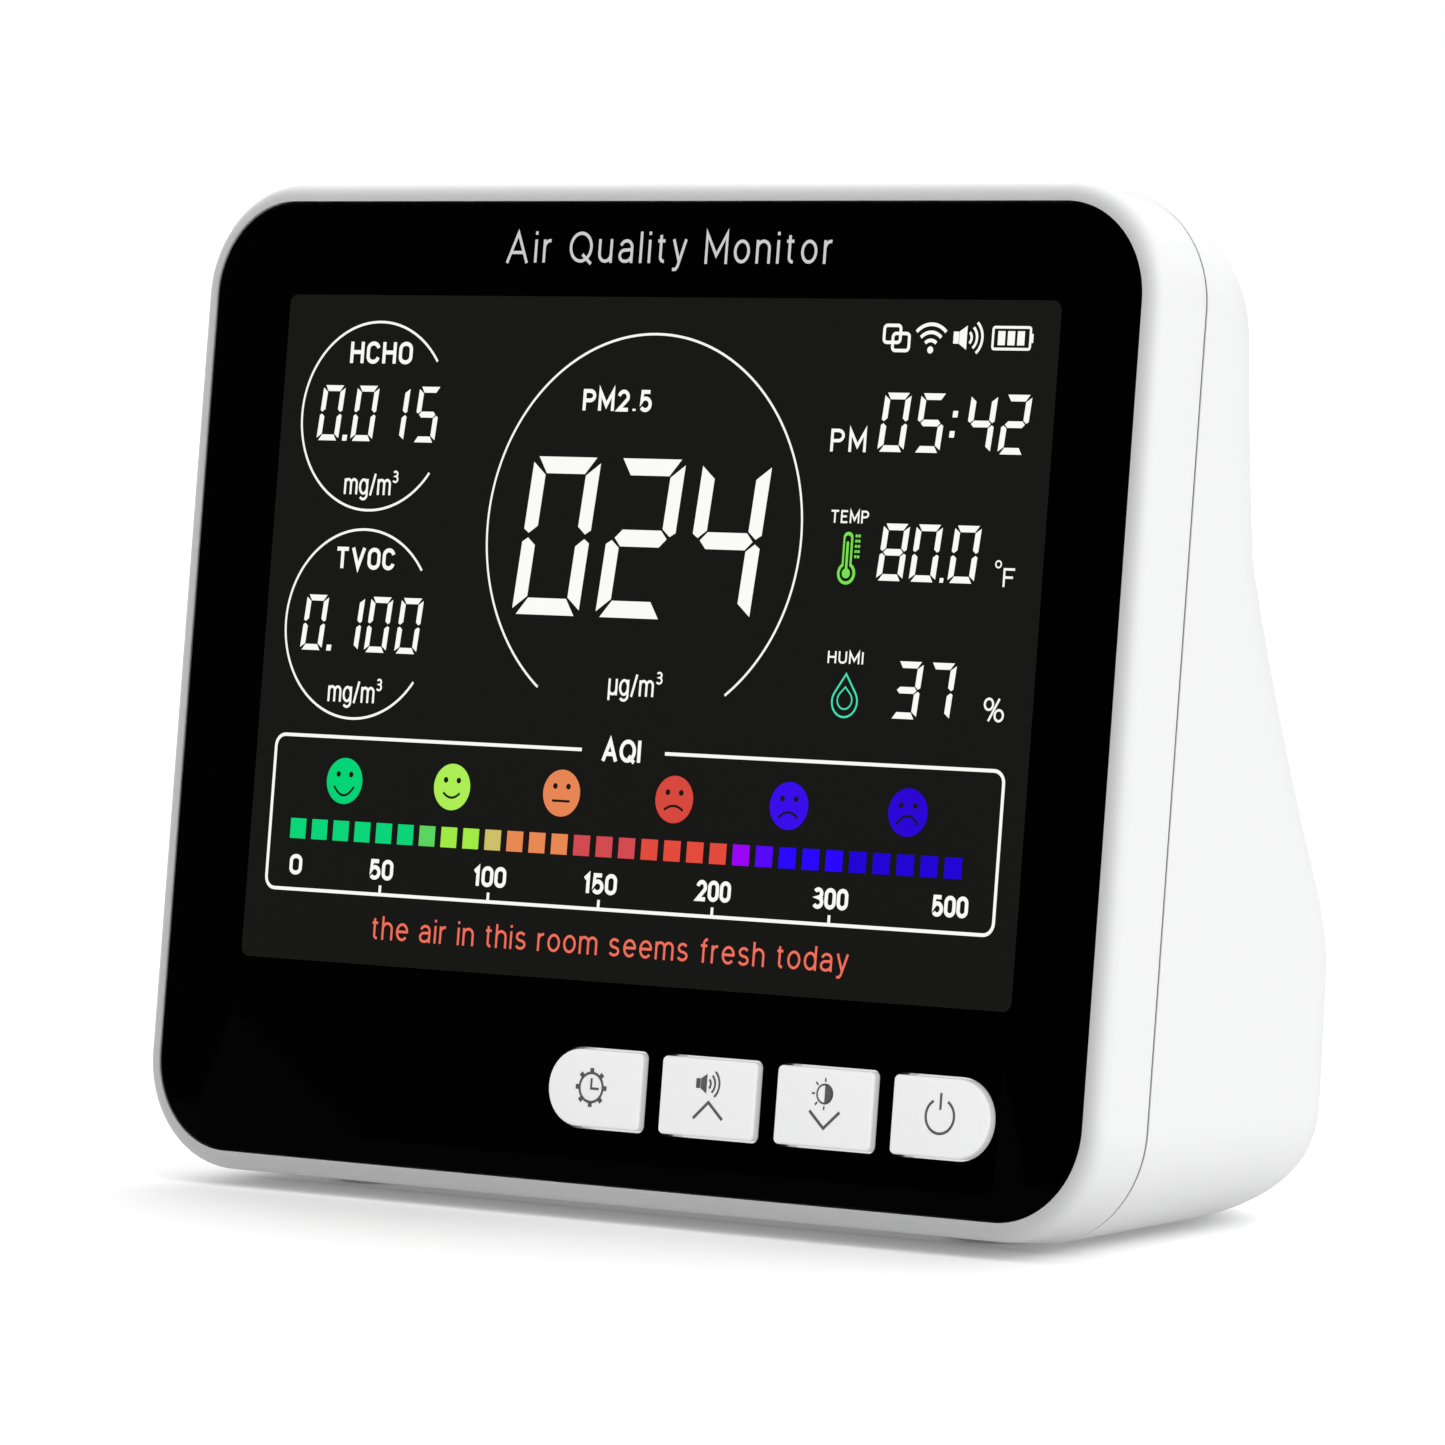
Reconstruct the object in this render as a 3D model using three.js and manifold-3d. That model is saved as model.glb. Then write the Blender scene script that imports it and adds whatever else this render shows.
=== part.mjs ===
// Desktop air quality monitor: a white two-part case leaning back on a deeper foot block, with a
// black front lens, four push buttons, a display, a particle sensor with its fan, and electronics.
//
// Most pieces are drawn upright in the lean group's own axes, whose origin is the middle of the
// front lens's bottom edge: X to the right, Y into the case (depth), Z up along the lens.
import * as THREE from "three";
import { mergeVertices } from "three/addons/utils/BufferGeometryUtils.js";
import Module from "manifold-3d";

const wasm = await Module();
wasm.setup();

// ---- driving dimensions, millimetres ----
const LEAN = THREE.MathUtils.degToRad(7); // how far the front leans back
const GAP = 0.3; // clearance between pieces that touch
const SHARP = 0.01; // corner radius of a plainly square edge
const BEYOND = 64; // a depth past the whole back

const LENS = { width: 118, height: 99.8, corner: 9.65, front: 0.1, thick: 1.5 };
const RIM = { side: 2, nose: 1.9, gap: 0.15 }; // visible surround outside the lens
const PARTING = 8.8; // depth where the rear shell starts
const WALL = 2.2;
const SEAT = { front: 2.3, thick: 1.5 }; // plate behind the lens, part of the front frame

const BACK = {
  floor: -2, // height of the shell's base at the parting plane
  top: 101.8,
  side: LENS.width / 2 + RIM.side,
  corner: 11.7, // corner radius seen from the front
  topCorner: 14, // what the top corners' radius grows to
  cornerGrowth: 14, // over this depth
  plan: 18, // rear corner radius seen from above
  planShare: 0.75, // and its largest share of the depth
  draft: 0.01,
  baseDepth: 44.3, // depths behind the parting plane
  kinkDepth: 43.1,
  topDepth: 14.1,
  kinkHeight: 29.6, // above the base
  sweep: 1.46, // how hollow the upper back is
  kinkSoftness: 2.5,
  topRound: 11.3, // edge radii seen from the side
  baseRound: 7.4,
};
BACK.height = BACK.top - BACK.floor;

const DISPLAY = { x: 0.45, z: 55.25, windowWidth: 98.6, windowHeight: 69.7 };
const GLASS = { width: 101.5, height: 72.2, front: 4.1, thick: 1.6 };
const TRAY = { wall: 0.7, floor: 8.3, back: 9.4 };

const BUTTON = {
  height: 7.85,
  z: 9.62,
  proud: 0.6, // how far a cap stands out of the lens
  corner: 0.55,
  back: 5,
  flange: 0.8,
  travel: 0.5,
};
// name, middle and width of each cap, and which end is round
const BUTTONS = [
  { name: "timer", x: -0.39, width: 11.9, round: "left" },
  { name: "up", x: 13.97, width: 11.95, round: "none" },
  { name: "down", x: 28.4, width: 11.9, round: "none" },
  { name: "power", x: 42.63, width: 11.85, round: "right" },
];
const SWITCH = { size: 6, front: 6, back: 8.6, plunger: 1.5 };

const MAIN_BOARD = { x: 0, z: 55.5, width: 104, height: 73, front: 11, thick: 1.6 };
const BOARD_BACK = MAIN_BOARD.front + MAIN_BOARD.thick;
const BUTTON_BOARD = { x: 20.5, z: 9.62, width: 61, height: 12.7, front: 8.9, thick: 1.2 };
const POWER_BOARD = { x: 0, z: 11, width: 24, height: 12, front: 42.3, thick: 1.6 };

const BOARD_SCREW = { x: 48, low: 24, high: 87.5, head: 2, shank: 1, post: 2.4 };
// Two screws rise through the base into lugs of the front frame, and hooks hold the top edge.
const CASE_SCREW = { x: 30, y: 15, head: 2.3, sunk: 1.3, shank: 1.1, length: 4.4 };
const LUG = { width: 8, deep: 7, tall: 3.6, arm: 1.5, armZ: 2.2 };
const HOOK = {
  places: [-32, 0, 32],
  width: 7,
  top: 98.2,
  thick: 1.3,
  end: 14.2,
  nib: 0.8,
  nibDeep: 1.2,
  rib: 2.5, // the rib it holds, inside the rear shell's top wall
  ribFront: 11.4,
};

const SENSOR = { x: -27.5, z: 24, width: 44, height: 36, front: 15, back: 35, wall: 1.5 };
const FAN = { x: -18, z: 27.5, front: 19, back: 32, radius: 9.3, hub: 4.2, bore: 1.3, blades: 9 };
const DUCT = { x: -33, z: 20, width: 18, height: 13, front: 37.1, back: 48.4, wall: 1.2 };
const SPEAKER = { x: 29, z: 18, radius: 11.5, front: 40.5, back: 49 };
const BATTERY = { x: 27, z: 35, width: 52, height: 29, front: 15.6, back: 24.2 };
const USB = { width: 9, height: 3.3, back: 51.8, wall: 0.35 };
const VENT = { rows: 6, lowest: 58, pitch: 4.6, slot: 1.9, length: 22, columns: [-27, 0, 27] };
const FOOT = { radius: 4, thick: 1.6, recess: 0.8, x: 40, front: 14, rear: 40 };

// ---- solids and shapes ----
function solidOf(geometry) {
  const bare = geometry.clone();
  bare.deleteAttribute("normal");
  bare.deleteAttribute("uv");
  const merged = mergeVertices(bare, 1e-4);
  return new wasm.Manifold(
    new wasm.Mesh({
      numProp: 3,
      vertProperties: merged.attributes.position.array,
      triVerts: new Uint32Array(merged.index.array),
    }),
  );
}

function geometryOf(solid) {
  const mesh = solid.getMesh();
  const geometry = new THREE.BufferGeometry();
  geometry.setAttribute("position", new THREE.BufferAttribute(mesh.vertProperties, 3));
  geometry.setIndex(new THREE.BufferAttribute(mesh.triVerts, 1));
  geometry.computeVertexNormals();
  return geometry;
}

const joined = (...geometries) => geometries.map(solidOf).reduce((sum, next) => sum.add(next));
const cutBy = (solid, ...geometries) =>
  geometries.reduce((left, tool) => left.subtract(solidOf(tool)), solid);

// Points of an arc in the XZ plane, from one angle to another.
function arc(radius, x, z, from, to, steps) {
  return Array.from({ length: steps + 1 }, (_, i) => {
    const angle = from + ((to - from) * i) / steps;
    return new THREE.Vector2(x + radius * Math.cos(angle), z + radius * Math.sin(angle));
  });
}

// A rounded rectangle in the XZ plane: one radius, or four as [high right, high left, low left, low right].
function outline(width, height, corners, x = 0, z = 0) {
  const radii = Array.isArray(corners) ? corners : Array(4).fill(corners);
  const points = radii.flatMap((radius, corner) => {
    const right = corner === 0 || corner === 3 ? 1 : -1;
    const up = corner < 2 ? 1 : -1;
    const steps = Math.max(2, Math.round(1 + radius * 0.7));
    const from = (corner * Math.PI) / 2;
    const centre = [x + right * (width / 2 - radius), z + up * (height / 2 - radius)];
    return arc(radius, ...centre, from, from + Math.PI / 2, steps);
  });
  return new THREE.Shape(points);
}

const circle = (radius, x, z, sides = 14) =>
  new THREE.Shape(arc(radius, x, z, 0, 2 * Math.PI, sides).slice(1));

// A shape in the XZ plane, made into a plate between two depths.
function plate(shape, front, back, holes = []) {
  const whole = shape.clone();
  whole.holes.push(...holes);
  const geometry = new THREE.ExtrudeGeometry(whole, { depth: back - front, bevelEnabled: false });
  return geometry.rotateX(Math.PI / 2).translate(0, back, 0);
}

const rod = (radius, x, z, front, back, sides) => plate(circle(radius, x, z, sides), front, back);

// A turned piece whose axis runs along Y at (x, z). Its profile is [radius, depth] pairs.
function turned(profile, x, z, segments = 12) {
  const points = profile.map(([radius, depth]) => new THREE.Vector2(radius, depth));
  return new THREE.LatheGeometry(points, segments).translate(x, 0, z);
}

// Joins rings of points into one closed skin. The rings run anticlockwise seen from the last one.
function skin(rings, capped) {
  const count = rings[0].length;
  const position = rings.flat().flatMap((point) => point.toArray());
  const index = [];
  const last = capped ? rings.length - 1 : rings.length;
  for (let i = 0; i < last; i++) {
    const low = i * count;
    const high = ((i + 1) % rings.length) * count;
    for (let j = 0; j < count; j++) {
      const k = (j + 1) % count;
      index.push(low + j, low + k, high + k, low + j, high + k, high + j);
    }
  }
  if (capped) {
    const top = (rings.length - 1) * count;
    for (let j = 1; j < count - 1; j++) {
      index.push(0, j + 1, j);
      index.push(top, top + j, top + j + 1);
    }
  }
  const geometry = new THREE.BufferGeometry();
  geometry.setAttribute("position", new THREE.Float32BufferAttribute(position, 3));
  geometry.setIndex(index);
  return geometry;
}

// ---- front frame: a swept surround, the lens seat, hooks and screw lugs ----
// The lens's outline, moved out by offset, as a loop of points at one depth.
function lensLoop(offset, depth) {
  const steps = 7;
  const radius = LENS.corner + offset;
  return [0, 1, 2, 3].flatMap((corner) => {
    const right = corner === 0 || corner === 3 ? 1 : -1;
    const up = corner < 2 ? 1 : -1;
    const x = right * (LENS.width / 2 + offset - radius);
    const z = LENS.height / 2 + up * (LENS.height / 2 + offset - radius);
    const from = (corner * Math.PI) / 2;
    const points = arc(radius, x, z, from, from + Math.PI / 2, steps);
    return points.map((point) => new THREE.Vector3(point.x, depth, point.y));
  });
}

function frameProfile() {
  const profile = [];
  const steps = 6;
  for (let i = 0; i <= steps; i++) {
    const angle = ((i / steps) * Math.PI) / 2;
    const out = RIM.gap + (RIM.side - RIM.gap) * Math.sin(angle);
    profile.push([out, RIM.nose * (1 - Math.cos(angle))]);
  }
  const [tongueOut, tongueIn, tongueEnd] = [-0.9, -2, 11];
  profile.push([RIM.side, PARTING - GAP], [tongueOut, PARTING - GAP], [tongueOut, tongueEnd]);
  profile.push([tongueIn, tongueEnd], [tongueIn, SEAT.front], [RIM.gap, SEAT.front]);
  return profile;
}

function buttonOutline({ x, width, round }, grow) {
  const full = BUTTON.height / 2 + grow - 0.02;
  const small = BUTTON.corner + Math.max(grow, 0) / 2;
  const left = round === "left" ? full : small;
  const right = round === "right" ? full : small;
  const corners = [right, left, left, right];
  return outline(width + 2 * grow, BUTTON.height + 2 * grow, corners, x, BUTTON.z);
}

function frontFrame() {
  const loops = frameProfile().map(([offset, depth]) => lensLoop(offset, depth));
  const ring = skin(loops.reverse(), false);
  const windowHole = outline(
    DISPLAY.windowWidth + 1,
    DISPLAY.windowHeight + 1,
    1,
    DISPLAY.x,
    DISPLAY.z,
  );
  const guides = BUTTONS.map((button) => buttonOutline(button, GAP + 0.05));
  const seat = plate(
    outline(LENS.width - 2, LENS.height - 2, LENS.corner - 1, 0, LENS.height / 2),
    SEAT.front,
    SEAT.front + SEAT.thick,
    [windowHole, ...guides],
  );
  return geometryOf(
    cutBy(joined(ring, seat, ...hooks(), ...lugs()), ...caseScrewPlaces().map(lugPilot)),
  );
}

// Arms on the top edge, each with a nib that drops behind a rib of the rear shell.
function hooks() {
  const { places, width, top, thick, end, nib } = HOOK;
  const seatBack = SEAT.front + SEAT.thick;
  return places.flatMap((x) => [
    plate(outline(width, thick, SHARP, x, top - thick / 2), seatBack - 0.5, end),
    plate(outline(width, nib + 0.4, SHARP, x, top + nib / 2 - 0.2), end - HOOK.nibDeep, end),
  ]);
}

// Level blocks just above the base, on arms that pass under the button board.
function lugs() {
  const low = BASE_Z + WALL + GAP;
  return caseScrewPlaces().flatMap(([x, y]) => [
    new THREE.BoxGeometry(LUG.width, LUG.deep, LUG.tall)
      .translate(x, y, low + LUG.tall / 2)
      .rotateX(LEAN),
    plate(outline(LUG.width, LUG.arm, SHARP, x, LUG.armZ), SEAT.front + 0.5, y - LUG.deep / 4),
  ]);
}

// An upright cylinder between two heights, level with the base.
const upright = (radius, x, y, low, high, sides = 12) =>
  new THREE.CylinderGeometry(radius, radius, high - low, sides)
    .rotateX(Math.PI / 2)
    .translate(x, y, (low + high) / 2)
    .rotateX(LEAN);

const lugPilot = ([x, y]) =>
  upright(CASE_SCREW.shank + GAP, x, y, BASE_Z, BASE_Z + WALL + GAP + LUG.tall + 1);

// ---- rear shell: plan sections that fan from level at the base to square with the lens on top ----
function cornerInset(distance, radius) {
  if (distance >= radius) return 0;
  return radius - Math.sqrt(Math.max(0, radius ** 2 - (radius - distance) ** 2));
}

// Depth of the back behind the parting plane, at a height above the base.
function backDepth(height) {
  const lower = BACK.baseDepth - ((BACK.baseDepth - BACK.kinkDepth) * height) / BACK.kinkHeight;
  const along = (height - BACK.kinkHeight) / (BACK.height - BACK.kinkHeight);
  const upper =
    BACK.topDepth + (BACK.kinkDepth - BACK.topDepth) * Math.max(0, 1 - along) ** BACK.sweep;
  const mix = Math.max(BACK.kinkSoftness - Math.abs(lower - upper), 0) / BACK.kinkSoftness;
  return Math.min(lower, upper) - (mix ** 2 * BACK.kinkSoftness) / 4;
}

// A point of the back: x, the distance behind the parting plane, and the height of its section.
function backPoint(x, distance, height) {
  const rise = LEAN * (1 - height / BACK.height);
  return new THREE.Vector3(
    x,
    PARTING + distance * Math.cos(rise),
    BACK.floor + height + distance * Math.sin(rise),
  );
}

// One plan section of the back, drawn in by inset, from start behind the parting plane.
function backSection(height, inset, start) {
  const fromTop = BACK.height - inset - height;
  const fromBase = height - inset;
  const baseCut = cornerInset(fromBase, BACK.corner - inset);
  const halfAt = (distance) => {
    const growth = THREE.MathUtils.clamp(distance / BACK.cornerGrowth, 0, 1);
    const topCorner = THREE.MathUtils.lerp(BACK.corner, BACK.topCorner, growth);
    return BACK.side - inset - baseCut - cornerInset(fromTop, topCorner - inset);
  };
  const depth =
    backDepth(height) -
    inset -
    cornerInset(fromTop, BACK.topRound - inset) -
    cornerInset(fromBase, BACK.baseRound - inset);
  const radius = Math.min(BACK.plan - inset, depth * BACK.planShare);
  const steps = 6;
  const right = [[halfAt(0), start]];
  for (let i = 0; i <= steps; i++) {
    const angle = ((i / steps) * Math.PI) / 2;
    const distance = depth - radius * (1 - Math.sin(angle));
    const draft = 1 - (BACK.draft * distance) / BACK.side;
    right.push([(halfAt(distance) - radius * (1 - Math.cos(angle))) * draft, distance]);
  }
  const left = right.map(([x, distance]) => [-x, distance]).reverse();
  return [...right, ...left].map(([x, distance]) => backPoint(x, distance, height));
}

function backHeights(inset) {
  const low = inset;
  const high = BACK.height - inset;
  const ease = [0, 0.06, 0.24, 0.55, 1];
  const bottom = ease.map((t) => low + t * (BACK.corner - inset));
  const top = ease.map((t) => high - t * (BACK.topRound - inset)).reverse();
  const middle = [20, 26, 28.5, 30.5, 34, 42, 54, 66, 78];
  return [...bottom, ...middle, ...top];
}

const backSolid = (inset, start) =>
  solidOf(skin(backHeights(inset).map((height) => backSection(height, inset, start)), true));

const throughBack = (shape, front) => plate(shape, front, BEYOND);

function ventSlots() {
  const slots = [];
  for (let row = 0; row < VENT.rows; row++) {
    const z = VENT.lowest + row * VENT.pitch;
    for (const x of VENT.columns)
      slots.push(throughBack(outline(VENT.length, VENT.slot, VENT.slot / 2 - 0.01, x, z), 18));
  }
  return slots;
}

function inletSlots() {
  const [slot, pitch, count] = [1.8, 3.4, 4];
  return Array.from({ length: count }, (_, row) =>
    throughBack(
      outline(
        DUCT.width - 3,
        slot,
        slot / 2 - 0.01,
        DUCT.x,
        DUCT.z + (row - (count - 1) / 2) * pitch,
      ),
      45,
    ),
  );
}

// Round speaker holes: one in the middle and two rings around it.
function speakerHoles() {
  const [radius, pitch] = [0.95, 3.5];
  const places = [[0, 0]];
  for (const ring of [1, 2])
    for (let i = 0; i < 6 * ring; i++) {
      const angle = (i / (6 * ring)) * 2 * Math.PI;
      places.push([ring * pitch * Math.cos(angle), ring * pitch * Math.sin(angle)]);
    }
  return places.map(([dx, dz]) =>
    throughBack(circle(radius, SPEAKER.x + dx, SPEAKER.z + dz, 8), 49.5),
  );
}

const footPocket = ([x, y]) =>
  upright(FOOT.radius + GAP, x, y, BASE_Z - 2, BASE_Z + FOOT.recess + 0.2, 16);

const screwHoles = ([x, y]) => [
  upright(CASE_SCREW.shank + GAP, x, y, BASE_Z - 1, BASE_Z + WALL + 1),
  upright(CASE_SCREW.head + GAP, x, y, BASE_Z - 1, BASE_Z + CASE_SCREW.sunk, 16),
];

// Ribs inside the top wall that the hooks' nibs sit behind.
const hookRibs = () =>
  HOOK.places.map((x) =>
    plate(
      outline(HOOK.width + 3, HOOK.rib, SHARP, x, HOOK.top + GAP + HOOK.rib / 2),
      HOOK.ribFront,
      HOOK.end - HOOK.nibDeep - GAP,
    ),
  );

function rearShell() {
  const shell = backSolid(0, 0).subtract(backSolid(WALL, -1)).add(joined(...hookRibs()));
  const port = outline(USB.width + 2 * GAP, USB.height + 2 * GAP, 1.5, POWER_BOARD.x, POWER_BOARD.z);
  return geometryOf(
    cutBy(
      shell,
      ...caseScrewPlaces().flatMap(screwHoles),
      ...footPlaces().map(footPocket),
      ...ventSlots(),
      ...inletSlots(),
      ...speakerHoles(),
      throughBack(port, 46),
    ),
  );
}

// A curved sheet just inside the vents.
function ventMesh() {
  const [half, clear, thick] = [40, 0.7, 0.5];
  const rings = [56.5, 62, 68, 74, 80, 84.5].map((height) => {
    const outside = backDepth(height) - WALL - clear;
    return [
      [half, outside - thick],
      [half, outside],
      [-half, outside],
      [-half, outside - thick],
    ].map(([x, distance]) => backPoint(x, distance, height));
  });
  return skin(rings, true);
}

// ---- buttons and switches ----
function buttonCap(button) {
  const front = LENS.front - BUTTON.proud;
  const ease = 0.3;
  const cap = plate(buttonOutline(button, 0), front + ease, BUTTON.back);
  const face = plate(buttonOutline(button, -ease / 2), front, front + ease + 0.1);
  const flange = plate(buttonOutline(button, BUTTON.flange), BUTTON.back - 0.8, BUTTON.back);
  return geometryOf(joined(cap, face, flange));
}

const switchBody = ({ x }) =>
  plate(
    outline(SWITCH.size, SWITCH.size, 0.5, x, BUTTON.z),
    SWITCH.front,
    SWITCH.back,
    [circle(SWITCH.plunger + GAP, x, BUTTON.z, 12)],
  );

const switchPlunger = ({ x }) =>
  rod(SWITCH.plunger, x, BUTTON.z, BUTTON.back + GAP, SWITCH.back - BUTTON.travel - 0.4, 12);

// ---- display ----
const displaySheet = (width, height, front, back, corner = 0.8) =>
  plate(outline(width, height, corner, DISPLAY.x, DISPLAY.z), front, back);

function boardScrewPlaces() {
  const { x, low, high } = BOARD_SCREW;
  return [
    [-x, low],
    [x, low],
    [-x, high],
    [x, high],
  ];
}

function displayTray() {
  const [width, height] = [GLASS.width + 2 * GAP, GLASS.height + 2 * GAP];
  const outer = displaySheet(width + 2 * TRAY.wall, height + 2 * TRAY.wall, GLASS.front, TRAY.back);
  const well = displaySheet(width, height, GLASS.front - 1, TRAY.floor);
  const postEnd = MAIN_BOARD.front - GAP;
  const posts = boardScrewPlaces().map(([x, z]) =>
    rod(BOARD_SCREW.post, x, z, TRAY.floor + 0.5, postEnd),
  );
  const pilots = boardScrewPlaces().map(([x, z]) =>
    rod(BOARD_SCREW.shank + GAP, x, z, TRAY.floor + 0.7, postEnd + 1),
  );
  return geometryOf(cutBy(joined(outer, ...posts), well, ...pilots));
}

// A flat ribbon that follows a path of [depth, height] corners, with its width along X.
function ribbon(path, x, width, thick) {
  const back = path.map(([depth, z], i) => {
    const [before, after] = [path[Math.max(i - 1, 0)], path[Math.min(i + 1, path.length - 1)]];
    const [ay, az] = [depth - before[0], z - before[1]];
    const [by, bz] = [after[0] - depth, after[1] - z];
    const turn = new THREE.Vector2(Math.sign(az) + Math.sign(bz), -Math.sign(ay) - Math.sign(by));
    const reach = i === 0 || i === path.length - 1 ? thick / turn.length() : thick / 2;
    return [depth - turn.x * reach, z - turn.y * reach];
  });
  const shape = new THREE.Shape();
  [...path, ...back.reverse()].forEach(([depth, z], i) =>
    i === 0 ? shape.moveTo(depth, z) : shape.lineTo(depth, z),
  );
  const geometry = new THREE.ExtrudeGeometry(shape, { depth: width, bevelEnabled: false });
  return geometry.rotateX(Math.PI / 2).rotateZ(Math.PI / 2).translate(x - width / 2, 0, 0);
}

// ---- boards, screws and small parts ----
const board = ({ x, z, width, height, front, thick }, holes = []) =>
  plate(outline(width, height, 1, x, z), front, front + thick, holes);

function mainBoard() {
  const holes = boardScrewPlaces().map(([x, z]) => circle(BOARD_SCREW.shank + GAP, x, z, 10));
  return board(MAIN_BOARD, holes);
}

function crossRecess(x, z, back, reach) {
  const [slot, deep] = [0.7, 0.9];
  return [
    new THREE.BoxGeometry(2 * reach, 2 * deep, slot).translate(x, back, z),
    new THREE.BoxGeometry(slot, 2 * deep, 2 * reach).translate(x, back, z),
  ];
}

// A pan-head screw that points forward, with its head's underside at seat.
function screw(head, shank, height, seat, tip, x, z) {
  const blank = turned(
    [
      [0, tip],
      [shank, tip + shank],
      [shank, seat],
      [head, seat],
      [head, seat + height * 0.6],
      [head * 0.75, seat + height],
      [0, seat + height],
    ],
    x,
    z,
  );
  return geometryOf(cutBy(solidOf(blank), ...crossRecess(x, z, seat + height, head * 0.6)));
}

function caseScrew([x, y]) {
  const { head, shank, sunk, length } = CASE_SCREW;
  const pointing = screw(head, shank, 1, 0, -length, 0, 0);
  return pointing.rotateX(-Math.PI / 2).translate(x, y, BASE_Z + sunk - 0.2);
}
const boardScrew = ([x, z]) =>
  screw(BOARD_SCREW.head, BOARD_SCREW.shank, 1.3, BOARD_BACK + GAP, TRAY.floor + 1, x, z);

const onBoard = (width, height, tall, x, z, corner = 0.4) =>
  plate(outline(width, height, corner, x, z), BOARD_BACK + GAP, BOARD_BACK + GAP + tall);

// A sensor can: a short cylinder with a stepped rim and a sunk gas opening.
function gasCan(radius, tall, x, z) {
  const base = BOARD_BACK + GAP;
  return turned(
    [
      [0, base],
      [radius, base],
      [radius, base + tall * 0.75],
      [radius * 0.82, base + tall],
      [radius * 0.4, base + tall],
      [radius * 0.4, base + tall - 1],
      [0, base + tall - 1],
    ],
    x,
    z,
    18,
  );
}

const chipWithPort = (size, tall, port, x, z) =>
  plate(
    outline(size, size, 0.3, x, z),
    BOARD_BACK + GAP,
    BOARD_BACK + GAP + tall,
    [circle(port, x, z, 10)],
  );

// ---- particle sensor ----
function sensorCase() {
  const { x, z, width, height, front, back, wall } = SENSOR;
  const block = plate(outline(width, height, 1.5, x, z), front, back);
  const well = plate(
    outline(width - 2 * wall, height - 2 * wall, 0.8, x, z),
    front + wall,
    back + 1,
  );
  const [inside, outside, start, end] = [FAN.radius + 1, FAN.radius + 2, -0.2 * Math.PI, 1.45 * Math.PI];
  const scroll = new THREE.Shape([
    ...arc(outside, FAN.x, FAN.z, start, end, 18),
    ...arc(inside, FAN.x, FAN.z, end, start, 18),
  ]);
  const scrollWall = plate(scroll, front + wall - 0.2, back - 0.6);
  const pin = rod(FAN.bore - GAP, FAN.x, FAN.z, front + wall - 0.2, FAN.back - 1, 8);
  return geometryOf(cutBy(solidOf(block), well).add(joined(scrollWall, pin)));
}

function sensorLid() {
  const { x, z, width, height, back } = SENSOR;
  const fanHole = circle(FAN.radius - 2, FAN.x, FAN.z, 24);
  const inlet = outline(DUCT.width - 8, DUCT.height - 5, 1, DUCT.x - 3, DUCT.z);
  return plate(outline(width, height, 1.5, x, z), back + GAP, back + GAP + 1.5, [fanHole, inlet]);
}

// A wheel of backward-curved blades on a bored hub.
function fanRotor() {
  const { x, z, front, back, radius, hub, bore, blades } = FAN;
  const step = (2 * Math.PI) / blades;
  const [bladeAngle, sweep] = [0.16, -0.45];
  const shape = new THREE.Shape();
  for (let i = 0; i < blades; i++) {
    const root = i * step;
    for (const [r, angle] of [
      [hub, root],
      [(hub + radius) / 2, root + sweep * 0.4],
      [radius, root + sweep],
      [radius, root + sweep + bladeAngle * 0.7],
      [(hub + radius) / 2, root + sweep * 0.4 + bladeAngle],
      [hub, root + bladeAngle * 1.6],
    ]) {
      const [px, pz] = [x + r * Math.cos(angle), z + r * Math.sin(angle)];
      if (i === 0 && r === hub && angle === root) shape.moveTo(px, pz);
      else shape.lineTo(px, pz);
    }
  }
  return plate(shape, front, back, [circle(bore, x, z, 10)]);
}

const inletDuct = () =>
  plate(outline(DUCT.width, DUCT.height, 1.5, DUCT.x, DUCT.z), DUCT.front, DUCT.back, [
    outline(DUCT.width - 2 * DUCT.wall, DUCT.height - 2 * DUCT.wall, 0.8, DUCT.x, DUCT.z),
  ]);

// ---- power, battery and sound ----
function batteryClip() {
  const { x, z, width, height, front, back } = BATTERY;
  const [arm, deep] = [1.2, 10];
  const shape = new THREE.Shape();
  const [left, right] = [x - width / 2 - GAP, x + width / 2 + GAP];
  const corners = [
    [left - arm, front],
    [left - arm, back + GAP + arm],
    [right + arm, back + GAP + arm],
    [right + arm, front],
    [right, front],
    [right, back + GAP],
    [left, back + GAP],
    [left, front],
  ];
  corners.forEach(([cx, depth], i) => (i === 0 ? shape.moveTo(cx, depth) : shape.lineTo(cx, depth)));
  const geometry = new THREE.ExtrudeGeometry(shape, { depth: deep, bevelEnabled: false });
  return geometry.translate(0, 0, z - deep / 2 - height / 8);
}

// A straight two-core lead from the battery's side to a plug on the main board.
const batteryLead = () =>
  plate(
    outline(9, 3, 1, BATTERY.x - BATTERY.width / 2 - 5.5, BATTERY.z + 11),
    BOARD_BACK + GAP,
    BATTERY.back - 3,
  );

function speakerUnit() {
  const { x, z, radius, front, back } = SPEAKER;
  return turned(
    [
      [0, front],
      [radius * 0.5, front],
      [radius * 0.5, front + 2.5],
      [radius * 0.92, back - 2.4],
      [radius, back - 2],
      [radius, back - 0.4],
      [radius * 0.88, back],
      [radius * 0.82, back - 0.6],
      [radius * 0.35, back - 2.6],
      [0, back - 1.6],
    ],
    x,
    z,
    20,
  );
}

function usbSocket() {
  const { x, z, front, thick } = POWER_BOARD;
  const { width, height, back, wall } = USB;
  const shell = plate(outline(width, height, 1.4, x, z), front + thick + GAP, back);
  const mouth = plate(outline(width - 2 * wall, height - 2 * wall, 1.1, x, z), back - 5.5, back + 1);
  const tongue = new THREE.BoxGeometry(width - 2.6, 5.2, 0.7).translate(x, back - 3.2, z);
  return geometryOf(cutBy(solidOf(shell), mouth).add(solidOf(tongue)));
}

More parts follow.
